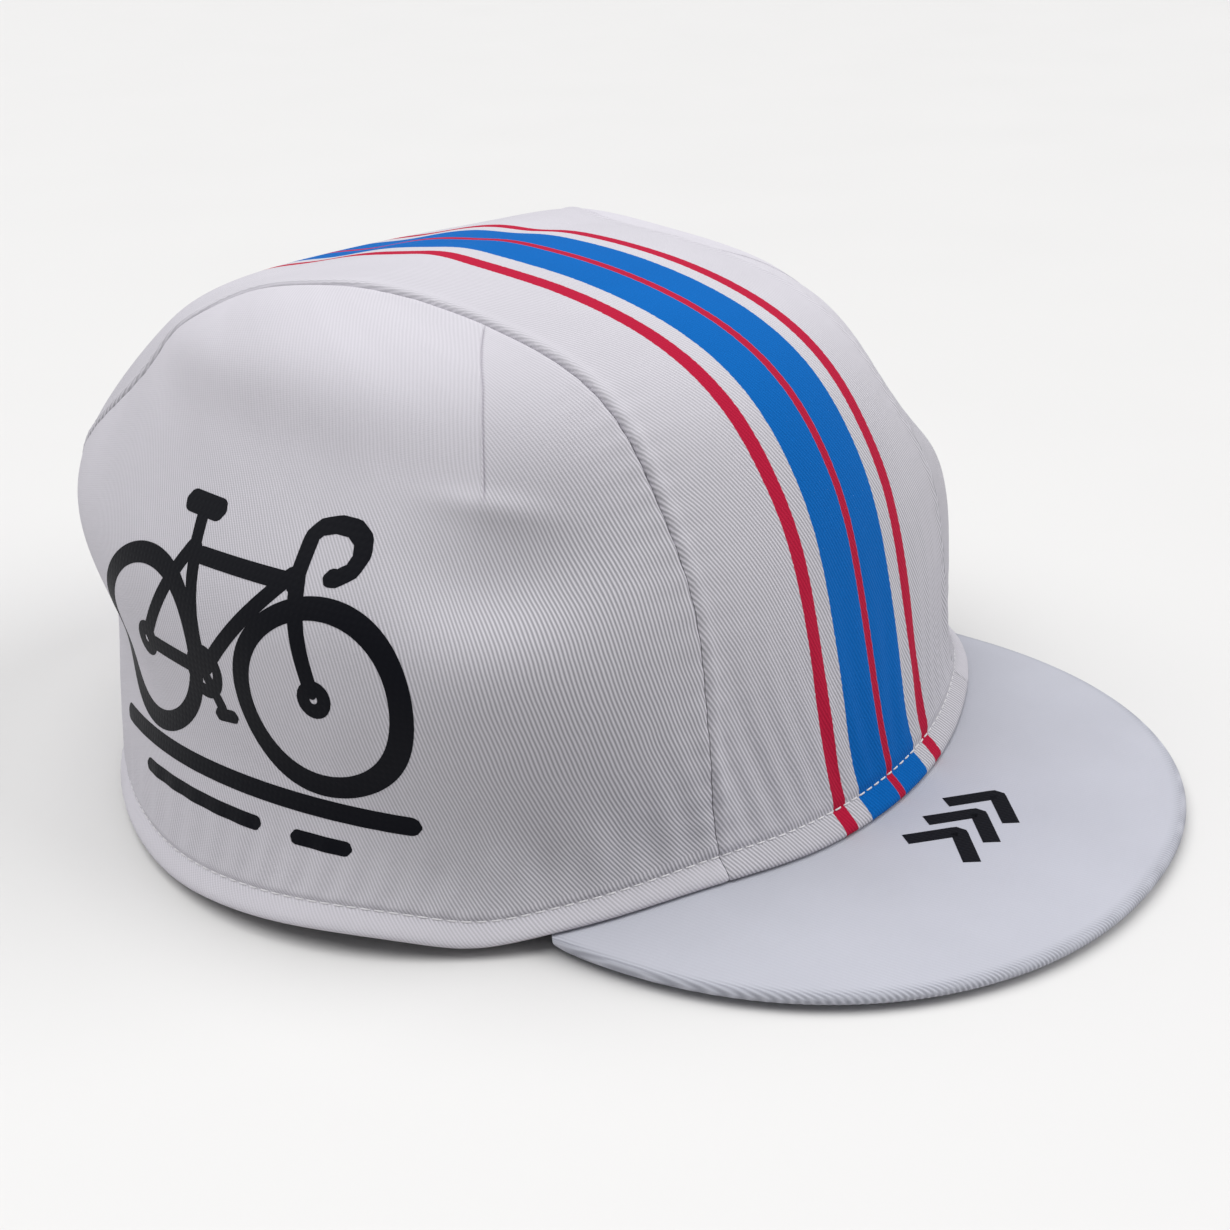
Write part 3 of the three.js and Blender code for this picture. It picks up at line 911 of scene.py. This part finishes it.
def side_grid(crown):
    """Angles, shares of the way up and heights of a side panel's grid, whose dart lies on one column."""
    heights, _ = hem_rows(HEM_OUTSIDE)
    steps = np.linspace(1, SIDE_TOP, SIDE_ROWS)
    top = crown.map.top_of(1.0)
    high = np.concatenate([0 * heights, top * (1 - eased(steps))])
    height = np.concatenate([heights, np.full(SIDE_ROWS, WALL_FOOT)])
    front, back = (crown.map.cross(SIDE_EDGE, high, height, back) for back in (False, True))
    dart = dart_bearing(up_of(dart_bearing(high), high, height, crown.size))
    fine = np.linspace(0, 1, 260)
    columns = side_columns()
    angles = np.empty((len(high), len(columns)))
    for i, (low, far) in enumerate(zip(front, back)):
        row = low + (far - low) * fine
        up = up_of(row, high[i], height[i], crown.size)
        reach = along_line(crown_point(row, up, crown.size))
        reach /= reach[-1]
        middle = np.clip(np.interp(dart[i], row, reach), 0.03, 0.6)
        share = np.interp(columns, [0, 1, 2], [0, middle, 1])
        angles[i] = np.interp(share, reach, row)
    shape = angles.shape
    return angles, np.broadcast_to(high[:, None], shape), np.broadcast_to(height[:, None], shape)


def side_columns():
    """The columns' places: 0 at the front seam, 1 on the dart and 2 at the back seam, denser there."""
    first, second = np.linspace(0, 1, DART_COLUMNS), np.linspace(0, 1, SIDE_COLUMNS)
    first = first - 0.8 * np.sin(2 * np.pi * first) / (2 * np.pi)
    second = second - 0.85 * np.sin(2 * np.pi * second) / (2 * np.pi)
    return np.concatenate([first, 1 + second[1:]])


def side_weave(crown, angle, up):
    """The ribs' coordinates on a side panel: across, along and strength.

    In front of the dart they lean all the way. Behind it they are upright, and lean below it.
    """
    base = crown_point(angle, up, crown.size)
    from_front = along_line(base)
    middle = np.array([np.interp(math.radians(RIB_MIDDLE), a, r) for a, r in zip(angle, from_front)])
    backward = from_front - middle[:, None]
    column = crown_point(np.full(len(up), math.radians(RIB_MIDDLE)), up[:, len(up[0]) // 2], crown.size)
    rising = np.concatenate([[0], np.cumsum(np.linalg.norm(np.diff(column, axis=0), axis=-1))])[:, None]
    at, before, past = np.array(RIB_LEANS).T
    leaning, upright = (lean_sum(rising, at, lean) for lean in (before, past))
    dart = dart_bearing(up)
    dart_line = np.array([np.interp(d[0], a, b) for d, a, b in zip(dart, angle, backward)])
    past_dart = backward - dart_line[:, None]
    behind = smoothstep(past_dart, -0.1, 0.1)
    across = RIB_SPREAD * (backward - behind * upright - (1 - behind) * leaning)
    along = rising + 0.4 * backward
    # The ribs show less towards the back, behind the dart and on the hem's roll
    faint = 1 - 0.5 * smoothstep(backward, -65, -15)
    faint = faint * (1 - 0.3 * behind * smoothstep(up, DART_UP[0] - 0.06, DART_UP[0] + 0.04))
    faint = faint * (0.5 + 0.5 * smoothstep(rising, 3, 6))
    return np.stack([across, along, rib_strength(base[..., 2]) * faint], -1)


def lean_sum(rising, at, lean):
    """How far the ribs have leaned over at each height."""
    middle = np.interp((rising[1:] + rising[:-1]) / 2, at, lean)
    return np.concatenate([[[0.0]], np.cumsum(middle * np.diff(rising, axis=0), axis=0)])


class CAP_OT_side_panels(bpy.types.Operator):
    """Builds the two side panels, each with a dart"""

    bl_idname = "cap.side_panels"
    bl_label = "Side panels"

    def execute(self, context):
        crown = Crown()
        angle, high, height = side_grid(crown)
        up = up_of(angle, high, height, crown.size)
        base = crown_point(angle, up, crown.size)
        cloth = np.stack([along_line(base), base[..., 2], height], -1)
        weave = side_weave(crown, angle, up)
        material = twill("white_cotton_twill", False)
        for side, name in ((RIGHT, "side_panel_right_cloth"), (LEFT, "side_panel_left_cloth")):
            piece = build_panel(
                crown,
                name,
                "white_twill",
                (-side * angle, high, height),
                SIDE_ROWS,
                {"cloth": cloth, "twill": weave},
                material,
                side == LEFT,
            )
        return {"FINISHED"}


# The peak

class Peak:
    """The peak's upper face and the sections of its two covers, as in its solids."""

    def __init__(self):
        self.size = size = sizes()
        low, high = 0.0, math.pi / 2
        for _ in range(40):
            middle = (low + high) / 2
            narrow = abs(crown_point(middle, np.float64(0), size)[0]) < size["peak_half_width"]
            low, high = (middle, high) if narrow else (low, middle)
        self.corner_angle = low
        rim = crown_point(low, np.float64(0), size)
        self.corner = rim + crown_normal(low, np.float64(0), size) * PEAK_SHOW

    def station(self, t):
        """The stations' inner and outer ends, and the heights of the upper face at both."""
        angle = t * self.corner_angle
        none = 0 * t
        inner = crown_point(angle, none, self.size) - crown_normal(angle, none, self.size) * PEAK_TUCK
        bow = np.cos(t * np.pi / 2) ** (2 / PEAK_SQUARE)
        spread = np.sign(t) * np.abs(np.sin(t * np.pi / 2)) ** (2 / PEAK_SQUARE)
        front = self.size["rim_front"] + self.size["peak_reach"] + self.corner[1]
        outer = np.stack([spread * self.corner[0], self.corner[1] - front * bow, none], -1)
        hem_top = rim_lift(angle, self.size) - PIECE_GAP
        corner_top = rim_lift(self.corner_angle, self.size) - PIECE_GAP
        edge_top = PEAK_THICKNESS + (corner_top - PEAK_THICKNESS) * (1 - bow) ** CORNER_RISE
        return inner, outer, hem_top, edge_top

    def place(self, t, inset, down):
        """Points inset mm inside the peak's outer edge and down mm below its upper face."""
        inner, outer, hem_top, edge_top = self.station(t)
        reach = np.hypot(*(outer - inner)[..., :2].T).T
        hem_end = np.minimum(PEAK_TUCK + PEAK_SHOW, reach)
        from_inner = reach - inset
        slope = np.clip((from_inner - hem_end) / np.maximum(1, reach - hem_end), 0, 1)
        point = inner + (outer - inner) * (from_inner / reach)[..., None]
        point[..., 2] = hem_top + (edge_top - hem_top) * slope - down
        return point

    def even_stations(self, count):
        """Stations that lie evenly along the outer edge, with their lengths along it."""
        fine = np.sin(np.linspace(-1, 1, 4001) * np.pi / 2)
        path = along_line(self.place(fine, 0, 0))
        t = np.interp(np.linspace(0, path[-1], count), path, fine)
        return t, np.linspace(0, path[-1], count)

    def reach(self, t):
        inner, outer, _, _ = self.station(t)
        return np.hypot(*(outer - inner)[..., :2].T).T


def cover(peak, section, count, ribs=None):
    """Points, quads, cloth coordinates and insets of a closed cover that has one section all along.

    A section's points are inset in mm, or across as a share of the way in if they are over 100.
    """
    t, along = peak.even_stations(count)
    reach = peak.reach(t)
    thin = 1 - np.sqrt(1 - (1 - np.minimum(1, np.minimum(along, along[-1] - along) / CORNER_LONG)) ** 2)
    edge = np.minimum(EDGE_PART, CORNER_SHARE * reach)
    rings, values, insets = [], [], []
    for k, (inset, down) in enumerate(section):
        across = inset >= ACROSS
        from_edge = edge + (inset - ACROSS) * (reach - edge) if across else inset * edge / EDGE_PART
        drop = down + 0 * t
        if ribs:
            from_edge, drop = ribs(peak, t, k, from_edge, drop)
        insets.append(from_edge)
        rings.append(peak.place(t, from_edge, drop * (1 - CORNER_TAPER * thin)))
        values.append(np.stack([rings[-1][..., 0], rings[-1][..., 1], drop], -1))
    points = np.stack(rings, 1)
    rows, columns = points.shape[:2]
    index = np.arange(rows * columns).reshape(rows, columns)
    beside = np.roll(index, -1, axis=1)
    quads = np.stack([index[:-1], index[1:], beside[1:], beside[:-1]], -1).reshape(-1, 4).tolist()
    ends = [index[0].tolist(), index[-1][::-1].tolist()]
    values = np.stack(values, 1).reshape(-1, 3)
    return points.reshape(-1, 3), quads + ends, values, np.stack(insets, 1).ravel()


def across_rings(start, end, down, count):
    """Section points from one share of the way in to another."""
    return [(ACROSS + share, down) for share in np.linspace(start, end, count)]


def top_section():
    """The upper cover's section: its edge, tucked under the lip, its underside and its upper face."""
    return [
        (0.95, 0.25), (1.0, 0.5), (1.3, 0.8), (1.5, 1.6),
        *across_rings(0.1, 1, PEAK_TOP_THICKNESS, 12),
        *across_rings(1, 0.1, 0, 40),
        (2.6, 0.0), (1.9, 0.0), (1.5, 0.0), (1.3, 0.0), (1.1, 0.035),
    ]


def under_section():
    """The under cover's section: the lip that wraps the board's edge, the underside and the inner face."""
    return [*LIP, *across_rings(0.05, 1, PEAK_THICKNESS, 16), *across_rings(1, 0.1, UNDER_TOP, 8), (1.6, 1.9)]


def rib_place(x, y):
    """How far across the peak's ribs a place of its flat cloth lies."""
    return PEAK_RIBS[0] * x + PEAK_RIBS[1] * y


def lip_wrap():
    """The lengths along the lip's section, from where it leaves the upper face, and its outward normals."""
    line = np.array(LIP)
    reach = along_line(line)
    heading = np.gradient(line, axis=0)
    heading /= np.linalg.norm(heading, axis=1, keepdims=True)
    return reach, np.stack([-heading[:, 1], heading[:, 0]], -1)


def lip_ribs(peak, t, k, inset, drop):
    """The twill's ribs, which wrap round the lip and slant as they lie on the flat cloth."""
    if k >= len(LIP):
        return inset, drop
    reach, outward = lip_wrap()
    edge = peak.place(t, 0, 0)
    flow = np.gradient(edge[:, :2], axis=0)
    flow /= np.linalg.norm(flow, axis=1, keepdims=True)
    out = np.stack([flow[:, 1], -flow[:, 0]], -1)
    out *= np.sign((out * (edge[:, :2] - edge[len(edge) // 2, :2] * [1, 0.3])).sum(-1).mean())
    flat = edge[:, :2] + out * (reach[k] - LIP[0][0])
    phase = 2 * np.pi * rib_place(flat[:, 0], flat[:, 1]) / LIP_PITCH
    ridge = LIP_RIDGE * math.sin(math.pi * (k + 0.5) / len(LIP)) ** 0.5 * np.sin(phase)
    return inset - outward[k, 0] * ridge, drop - outward[k, 1] * ridge


class CAP_OT_peak(bpy.types.Operator):
    """Builds the peak's smooth upper cover and its ribbed under cover"""

    bl_idname = "cap.peak"
    bl_label = "Peak"

    def execute(self, context):
        peak = Peak()
        colours = context.scene.cap_colours
        material = twill("peak_cotton_twill", False, colours.peak, colours.peak_groove_shade)
        for name, slot, section, stations, ribs in (
            ("peak_top", "peak_cover", top_section(), TOP_STATIONS, None),
            ("peak_under", "peak_under_cover", under_section(), LIP_STATIONS, lip_ribs),
        ):
            points, faces, cloth, inset = cover(peak, section, stations, ribs)
            # The upper face is ironed smooth and lit straight on, so its ribs, with their bumps and painted
            # groove shade, show only near the edge
            ribbed = FACE_RIBS + (1 - FACE_RIBS) * smoothstep(-inset, -2.8, -0.7)
            if ribs:
                ribbed = 1 + 0 * inset
            along = PEAK_RIBS[1] * cloth[:, 0] - PEAK_RIBS[0] * cloth[:, 1]
            weave = np.stack([rib_place(cloth[:, 0], cloth[:, 1]), along, ribbed], -1)
            values = {"cloth": cloth, "twill": weave}
            piece = ride(mesh_object(f"{name}_cloth", points, faces, material, values), slot)
            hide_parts(name)
        return {"FINISHED"}


# Seam tapes and stitches

class CAP_OT_seam_tapes(bpy.types.Operator):
    """Builds the tapes that cover the seams on the inside"""

    bl_idname = "cap.seam_tapes"
    bl_label = "Seam tapes"

    def execute(self, context):
        crown = Crown()
        colours = context.scene.cap_colours
        material = plain_cloth("cotton_tape", colours.cloth, 0.55, 0.05, 0.85, 0.2)
        shares = np.linspace(*TAPE_SHARES, 9)
        angles, highs = crown_lines(shares, crown.map, 260)
        angles, highs = angles[:, 1:-1].T, highs[:, 1:-1].T
        up = up_of(angles, highs, WALL_FOOT, crown.size)
        rounding = 0.12 * np.linspace(-1, 1, 9) ** 6
        for side, name in ((RIGHT, "seam_tape_right"), (LEFT, "seam_tape_left")):
            turned = -side * angles
            wall = -crown.size["cloth_wall"]
            near = crown.place(turned, up, wall - 0.1 + 0 * up, True, 0)
            far = crown.place(turned, up, wall - 0.55 + rounding + 0 * up, True, 0)
            points, faces = shell(near, far)
            if side == RIGHT:
                faces = [face[::-1] for face in faces]
            flat = np.stack([near[..., 0], along_line(np.moveaxis(near, 0, 1)).T, near[..., 2]], -1)
            piece = mesh_object(name, points, faces, material, {"cloth": twice(flat)})
            ride(piece, "white_twill")
        return {"FINISHED"}


def capsules(places, headings, ups, long, radius):
    """Points, faces and thread coordinates of rounded stitches, joined."""
    half = [(0.15, 1.0), (0.36, 0.92), (0.46, 0.6), (0.5, 0.15)]
    rings = [(-along, wide) for along, wide in half[::-1]] + half
    turns = np.linspace(0, 2 * np.pi, 8, endpoint=False)
    sides = np.cross(headings, ups)
    points, faces, coordinates = [], [], []
    for place, heading, up, side in zip(places, headings, ups, sides):
        start = len(points)
        for along, wide in rings:
            sink = -1.1 * radius * (2 * along) ** 4
            for turn in turns:
                offset = side * math.cos(turn) + up * math.sin(turn) * 0.8
                points.append(place + heading * along * long + up * sink + offset * radius * wide)
                coordinates.append((turn * radius, along * long, 0))
        count = len(turns)
        for ring in range(len(rings) - 1):
            for k in range(count):
                a, b = start + ring * count + k, start + ring * count + (k + 1) % count
                faces.append((a, b, b + count, a + count))
        faces.append(tuple(range(start + count - 1, start - 1, -1)))
        last = start + (len(rings) - 1) * count
        faces.append(tuple(range(last, last + count)))
    return np.array(points), faces, coordinates


class CAP_OT_stitches(bpy.types.Operator):
    """Sews the hem with one row of stitches, outside and inside"""

    bl_idname = "cap.stitches"
    bl_label = "Stitches"

    def execute(self, context):
        crown = Crown()
        size = crown.size
        fine = np.linspace(-np.pi, np.pi, 2881)
        up = SEAM_OF_HEM * share_per_mm(fine, size)
        path = along_line(crown_point(fine, up, size))
        count = round(path[-1] / size["stitch_pitch"])
        wanted = np.arange(count) / count * path[-1]
        material = plain_cloth("cotton_thread", context.scene.cap_colours.thread, 0.3, 0.05, 0.7, 0.3, True)
        for name, out, shift, sign in STITCH_ROWS:
            angle = np.interp((wanted + shift * size["stitch_pitch"]) % path[-1], path, fine)
            middle, before, after = (
                self.thread_line(crown, angle + step, out) for step in (0, -0.004, 0.004)
            )
            heading = (after - before) / np.linalg.norm(after - before, axis=-1, keepdims=True)
            rise = SEAM_OF_HEM * share_per_mm(angle, size)
            outward = sign * crown_normal(angle, rise, size)
            points, faces, coordinates = capsules(
                middle, heading, outward, size["stitch_length"], size["thread_radius"]
            )
            ride(mesh_object(name, points, faces, material, {"cloth": coordinates}))
        return {"FINISHED"}

    @staticmethod
    def thread_line(crown, angle, out):
        """Places on the row of stitches, on the panel that lies there."""
        up = SEAM_OF_HEM * share_per_mm(angle, crown.size)
        on_centre = seam_share(angle, 0.0, SEAM_OF_HEM, crown.size) < 1
        outs = out + 0 * up
        both = [crown.place(angle, up, outs, panel) for panel in (False, True)]
        return np.where(on_centre[:, None], both[1], both[0])


# Prints

def stroke(points, width, closed=False, ends=True):
    """The two sides of a line of even width, resampled to short steps."""
    points = np.array(points, float)
    if closed:
        points = np.concatenate([points, points[:1]])
    reach = along_line(points)
    count = max(3, int(reach[-1] / PRINT_STEP) + 1)
    wanted = np.linspace(0, reach[-1], count)
    line = np.stack([np.interp(wanted, reach, points[:, k]) for k in (0, 1)], -1)
    heading = np.gradient(line, axis=0)
    if closed:
        heading[0] = heading[-1] = line[1] - line[-2]
    heading /= np.linalg.norm(heading, axis=1, keepdims=True)
    normal = np.stack([-heading[:, 1], heading[:, 0]], -1)
    offsets = np.linspace(-0.5, 0.5, max(3, int(width / PRINT_STEP) + 2))
    wide = np.full(count, float(width))
    if ends and not closed:
        from_end = np.minimum(wanted, wanted[-1] - wanted) / (width / 2)
        wide *= np.sqrt(np.maximum(0.02, 1 - np.maximum(0, 1 - from_end) ** 2))
    return line[:, None] + normal[:, None] * offsets[None, :, None] * wide[:, None, None]


def ring(x, y, radius, width):
    turns = np.linspace(0, 2 * np.pi, 72, endpoint=False)
    return stroke(np.stack([x + radius * np.cos(turns), y + radius * np.sin(turns)], -1), width, True)


def emblem():
    """A plain bicycle over two road lines, as flat grids in mm, the front of the bicycle at +x."""
    rear, front, pedals = (-17.0, -5), (17.0, -5), (-3.0, -6)
    seat, head = (-8.0, 11), (11.0, 11)
    grids = [ring(*rear, 12.2, 3.0), ring(*front, 12.2, 3.0)]
    grids += [ring(*hub, 1.6, 2.0) for hub in (rear, front)]
    grids += [ring(*pedals, 2.9, 2.0)]
    frame_lines = [
        [rear, pedals], [rear, seat], [pedals, seat],
        [pedals, head], [(-7.4, 9.4), (10.6, 9.4)], [head, front],
    ]
    grids += [stroke(line, 2.3) for line in frame_lines]
    handlebar = [
        (11.5, 8), (10.6, 15.2), (11.4, 16.4), (13.5, 17.1), (15.8, 17), (17.6, 15.9), (18.4, 14.1),
        (18.1, 12.2), (16.6, 11), (14.8, 10.9),
    ]
    grids += [stroke([(-7.6, 8.5), (-9.4, 15.5)], 2.2), stroke([(-13.5, 15.6), (-5, 15.2)], 3.0)]
    grids += [stroke(handlebar, 2.3)]
    grids += [stroke([pedals, (0.6, -11.4)], 2.0), stroke([(-1.6, -11.8), (3.2, -11.2)], 1.9)]
    grids += [stroke([(-30, -20.5), (30, -20.5)], 2.6), stroke([(-20, -25.2), (8, -25.2)], 2.0)]
    grids += [stroke([(13, -25.2), (22, -25.2)], 2.0)]
    return grids


def chevrons():
    """Three plain chevrons, one in front of the other, as flat grids in mm."""
    grids = []
    for row in range(3):
        x = 8 * (row - 1)
        grids.append(stroke([(x - 4, -6.5), (x + 4, 0), (x - 4, 6.5)], 3.2, ends=False))
    return grids


def print_mesh(name, grids, lay, material):
    """Builds thin prints from flat grids. lay turns flat points and heights into places."""
    points, faces, values = [], [], []
    for grid in grids:
        flat = grid.reshape(-1, 2)
        upper = lay(flat, PRINT_HIGH).reshape(*grid.shape[:2], 3)
        lower = lay(flat, PRINT_LOW).reshape(*grid.shape[:2], 3)
        part, quads = shell(upper, lower)
        offset = sum(map(len, points))
        points.append(part)
        faces += [[i + offset for i in quad] for quad in quads]
        values.append(np.tile(np.column_stack([flat, 0 * flat[:, 0]]), (2, 1)))
    return mesh_object(name, np.concatenate(points), faces, material, {"cloth": np.concatenate(values)})


def lay_on_crown(crown, side):
    """Lays flat points on a side panel, seen straight on at the emblem's place."""
    bearing, middle = math.radians(EMBLEM_PLACE[0]), EMBLEM_PLACE[1]
    centre = crown_point(bearing, np.float64(middle), crown.size)
    outward = crown_normal(bearing, np.float64(middle), crown.size)
    forward = np.cross([0, 0, 1], outward)
    forward /= np.linalg.norm(forward)
    forward *= -np.sign(forward[1])
    upward = np.cross(outward, forward)
    upward *= np.sign(upward[2])

    def lay(flat, out):
        x, y = (flat * EMBLEM_SCALE).T
        angle, up = np.full(len(x), bearing), np.full(len(x), middle)
        for _ in range(12):
            here = crown_point(angle, up, crown.size) - centre
            miss = np.stack([x - here @ forward, y - here @ upward], -1)
            step = 1e-4
            around = (crown_point(angle + step, up, crown.size) - centre - here) / step
            rise = (crown_point(angle, up + step, crown.size) - centre - here) / step
            slopes = np.stack([np.stack([around @ way, rise @ way], -1) for way in (forward, upward)], 1)
            move = np.linalg.solve(slopes, miss[..., None])[..., 0]
            angle, up = angle + np.clip(move[:, 0], -0.2, 0.2), up + np.clip(move[:, 1], -0.1, 0.1)
        return crown.place(-side * angle, up, out + 0 * up)

    return lay


def lay_on_peak(flat, out):
    """Lays flat points on the peak's upper face, the chevrons' middle at their place."""
    peak = Peak()
    turn = math.radians(CHEVRON_TURN)
    x = CHEVRON_PLACE[0] + flat[:, 0] * math.cos(turn) - flat[:, 1] * math.sin(turn)
    y = CHEVRON_PLACE[1] + flat[:, 0] * math.sin(turn) + flat[:, 1] * math.cos(turn)
    t = np.linspace(-0.9, 0.9, 721)
    inner, outer, _, _ = peak.station(t)
    reach = peak.reach(t)
    places = np.empty((len(x), 3))
    for i in range(len(x)):
        # The station whose line passes the point is where the side it lies on changes
        run = outer - inner
        turned = run[:, 0] * (y[i] - inner[:, 1]) - run[:, 1] * (x[i] - inner[:, 0])
        k = int(np.argmax(np.sign(turned[1:]) != np.sign(turned[:-1])))
        share = turned[k] / (turned[k] - turned[k + 1])
        at = t[k] + (t[k + 1] - t[k]) * share
        start = inner[k] + (inner[k + 1] - inner[k]) * share
        far = reach[k] + (reach[k + 1] - reach[k]) * share
        inset = far - math.hypot(x[i] - start[0], y[i] - start[1])
        places[i] = peak.place(np.array([at]), np.array([inset]), np.array([-out]))[0]
    return places


class CAP_OT_prints(bpy.types.Operator):
    """Prints a bicycle on each side and chevrons on the peak"""

    bl_idname = "cap.prints"
    bl_label = "Prints"

    def execute(self, context):
        ink = plain_cloth("black_print", context.scene.cap_colours.print, 0.9, 0.05, 0.55, 0.05)
        crown = Crown()
        for side, name in ((RIGHT, "emblem_right"), (LEFT, "emblem_left")):
            ride(print_mesh(name, emblem(), lay_on_crown(crown, side), ink))
        ride(print_mesh("peak_chevrons", chevrons(), lay_on_peak, ink))
        return {"FINISHED"}


# The stage

class CAP_OT_stage(bpy.types.Operator):
    """Builds the floor, the lights and the camera"""

    bl_idname = "cap.stage"
    bl_label = "Stage"

    def execute(self, context):
        scene = context.scene
        self.floor(scene)
        self.lights(scene)
        azimuth, elevation, roll = (math.radians(a) for a in CAMERA_TURNS)
        back = np.array(
            [
                -math.sin(azimuth) * math.cos(elevation),
                -math.cos(azimuth) * math.cos(elevation),
                math.sin(elevation),
            ]
        )
        right = np.cross(-back, [0, 0, 1])
        right /= np.linalg.norm(right)
        upward = np.cross(right, -back)
        target = CAMERA_TARGET[0] * right + [0, 0, CAMERA_TARGET[1]]
        rolled_right = math.cos(roll) * right + math.sin(roll) * upward
        rolled_up = -math.sin(roll) * right + math.cos(roll) * upward
        camera = bpy.data.objects.new("camera", bpy.data.cameras.new("camera"))
        turned = Matrix(np.stack([rolled_right, rolled_up, back], 1).tolist()).to_4x4()
        turned.translation = (target + CAMERA_DISTANCE * back + [0, frame_shift(), 0]) * MM
        camera.matrix_world = turned
        camera.data.sensor_width = SENSOR
        camera.data.lens = SENSOR * CAMERA_FOCUS / PHOTO_SIZE
        camera.data.clip_start = 0.01
        camera.data.dof.use_dof = False
        context.collection.objects.link(camera)
        scene.camera = camera
        scene.view_settings.view_transform = "Standard"
        return {"FINISHED"}

    @staticmethod
    def floor(scene):
        """A plain pale floor, with a faint unevenness in its gloss."""
        mesh = bpy.data.meshes.new("floor")
        reach = 12.0
        corners = [(-reach, -reach, 0), (reach, -reach, 0), (reach, reach, 0), (-reach, reach, 0)]
        mesh.from_pydata(corners, [], [(0, 1, 2, 3)])
        material = new_material("pale_floor")
        tree = material.node_tree
        place = add(tree, "NewGeometry")[0]
        rough = add(tree, "TexNoise", {"Vector": place, "Scale": 9.0})[0]
        value = add(tree, "MapRange", {0: rough, 3: 0.6, 4: 0.75})[0]
        add(
            tree,
            "OutputMaterial",
            {0: add(tree, "BsdfPrincipled", {"Base Color": scene.cap_colours.floor, "Roughness": value})[0]},
        )
        mesh.materials.append(material)
        floor = bpy.data.objects.new("floor", mesh)
        scene.collection.objects.link(floor)

    @staticmethod
    def lights(scene):
        for name, direction, wide, strength in LIGHTS:
            data = bpy.data.lights.new(name, "SUN")
            data.angle = math.radians(wide)
            data.energy = strength
            lamp = bpy.data.objects.new(name, data)
            lamp.rotation_euler = Vector(direction).to_track_quat("Z", "Y").to_euler()
            scene.collection.objects.link(lamp)
        world = bpy.data.worlds.new("soft_white")
        world.use_nodes = True
        background = world.node_tree.nodes["Background"]
        background.inputs[0].default_value = (0.95, 0.97, 1, 1)
        background.inputs[1].default_value = WORLD_LIGHT
        scene.world = world


class CAP_PT_panel(bpy.types.Panel):
    """The cap's sizes, colours and pieces"""

    bl_label = "Cycling cap"
    bl_idname = "CAP_PT_panel"
    bl_space_type = "VIEW_3D"
    bl_region_type = "UI"
    bl_category = "Cap"

    def draw(self, context):
        scene = context.scene
        for group in (scene.cap_sizes, scene.cap_colours):
            column = self.layout.column()
            for key in group.__annotations__:
                column.prop(group, key)
        for operator in OPERATORS:
            self.layout.operator(operator.bl_idname)


OPERATORS = (
    CAP_OT_centre_panel,
    CAP_OT_side_panels,
    CAP_OT_peak,
    CAP_OT_seam_tapes,
    CAP_OT_stitches,
    CAP_OT_prints,
    CAP_OT_stage,
)
CLASSES = (CapSizes, CapColours, *OPERATORS, CAP_PT_panel)


def register():
    for item in CLASSES:
        bpy.utils.register_class(item)
    bpy.types.Scene.cap_sizes = bpy.props.PointerProperty(type=CapSizes)
    bpy.types.Scene.cap_colours = bpy.props.PointerProperty(type=CapColours)


def unregister():
    del bpy.types.Scene.cap_sizes
    del bpy.types.Scene.cap_colours
    for item in reversed(CLASSES):
        bpy.utils.unregister_class(item)


def main():
    register()
    bpy.ops.cap.centre_panel()
    bpy.ops.cap.side_panels()
    bpy.ops.cap.peak()
    bpy.ops.cap.seam_tapes()
    bpy.ops.cap.stitches()
    bpy.ops.cap.prints()
    bpy.ops.cap.stage()


if __name__ == "__main__":
    main()
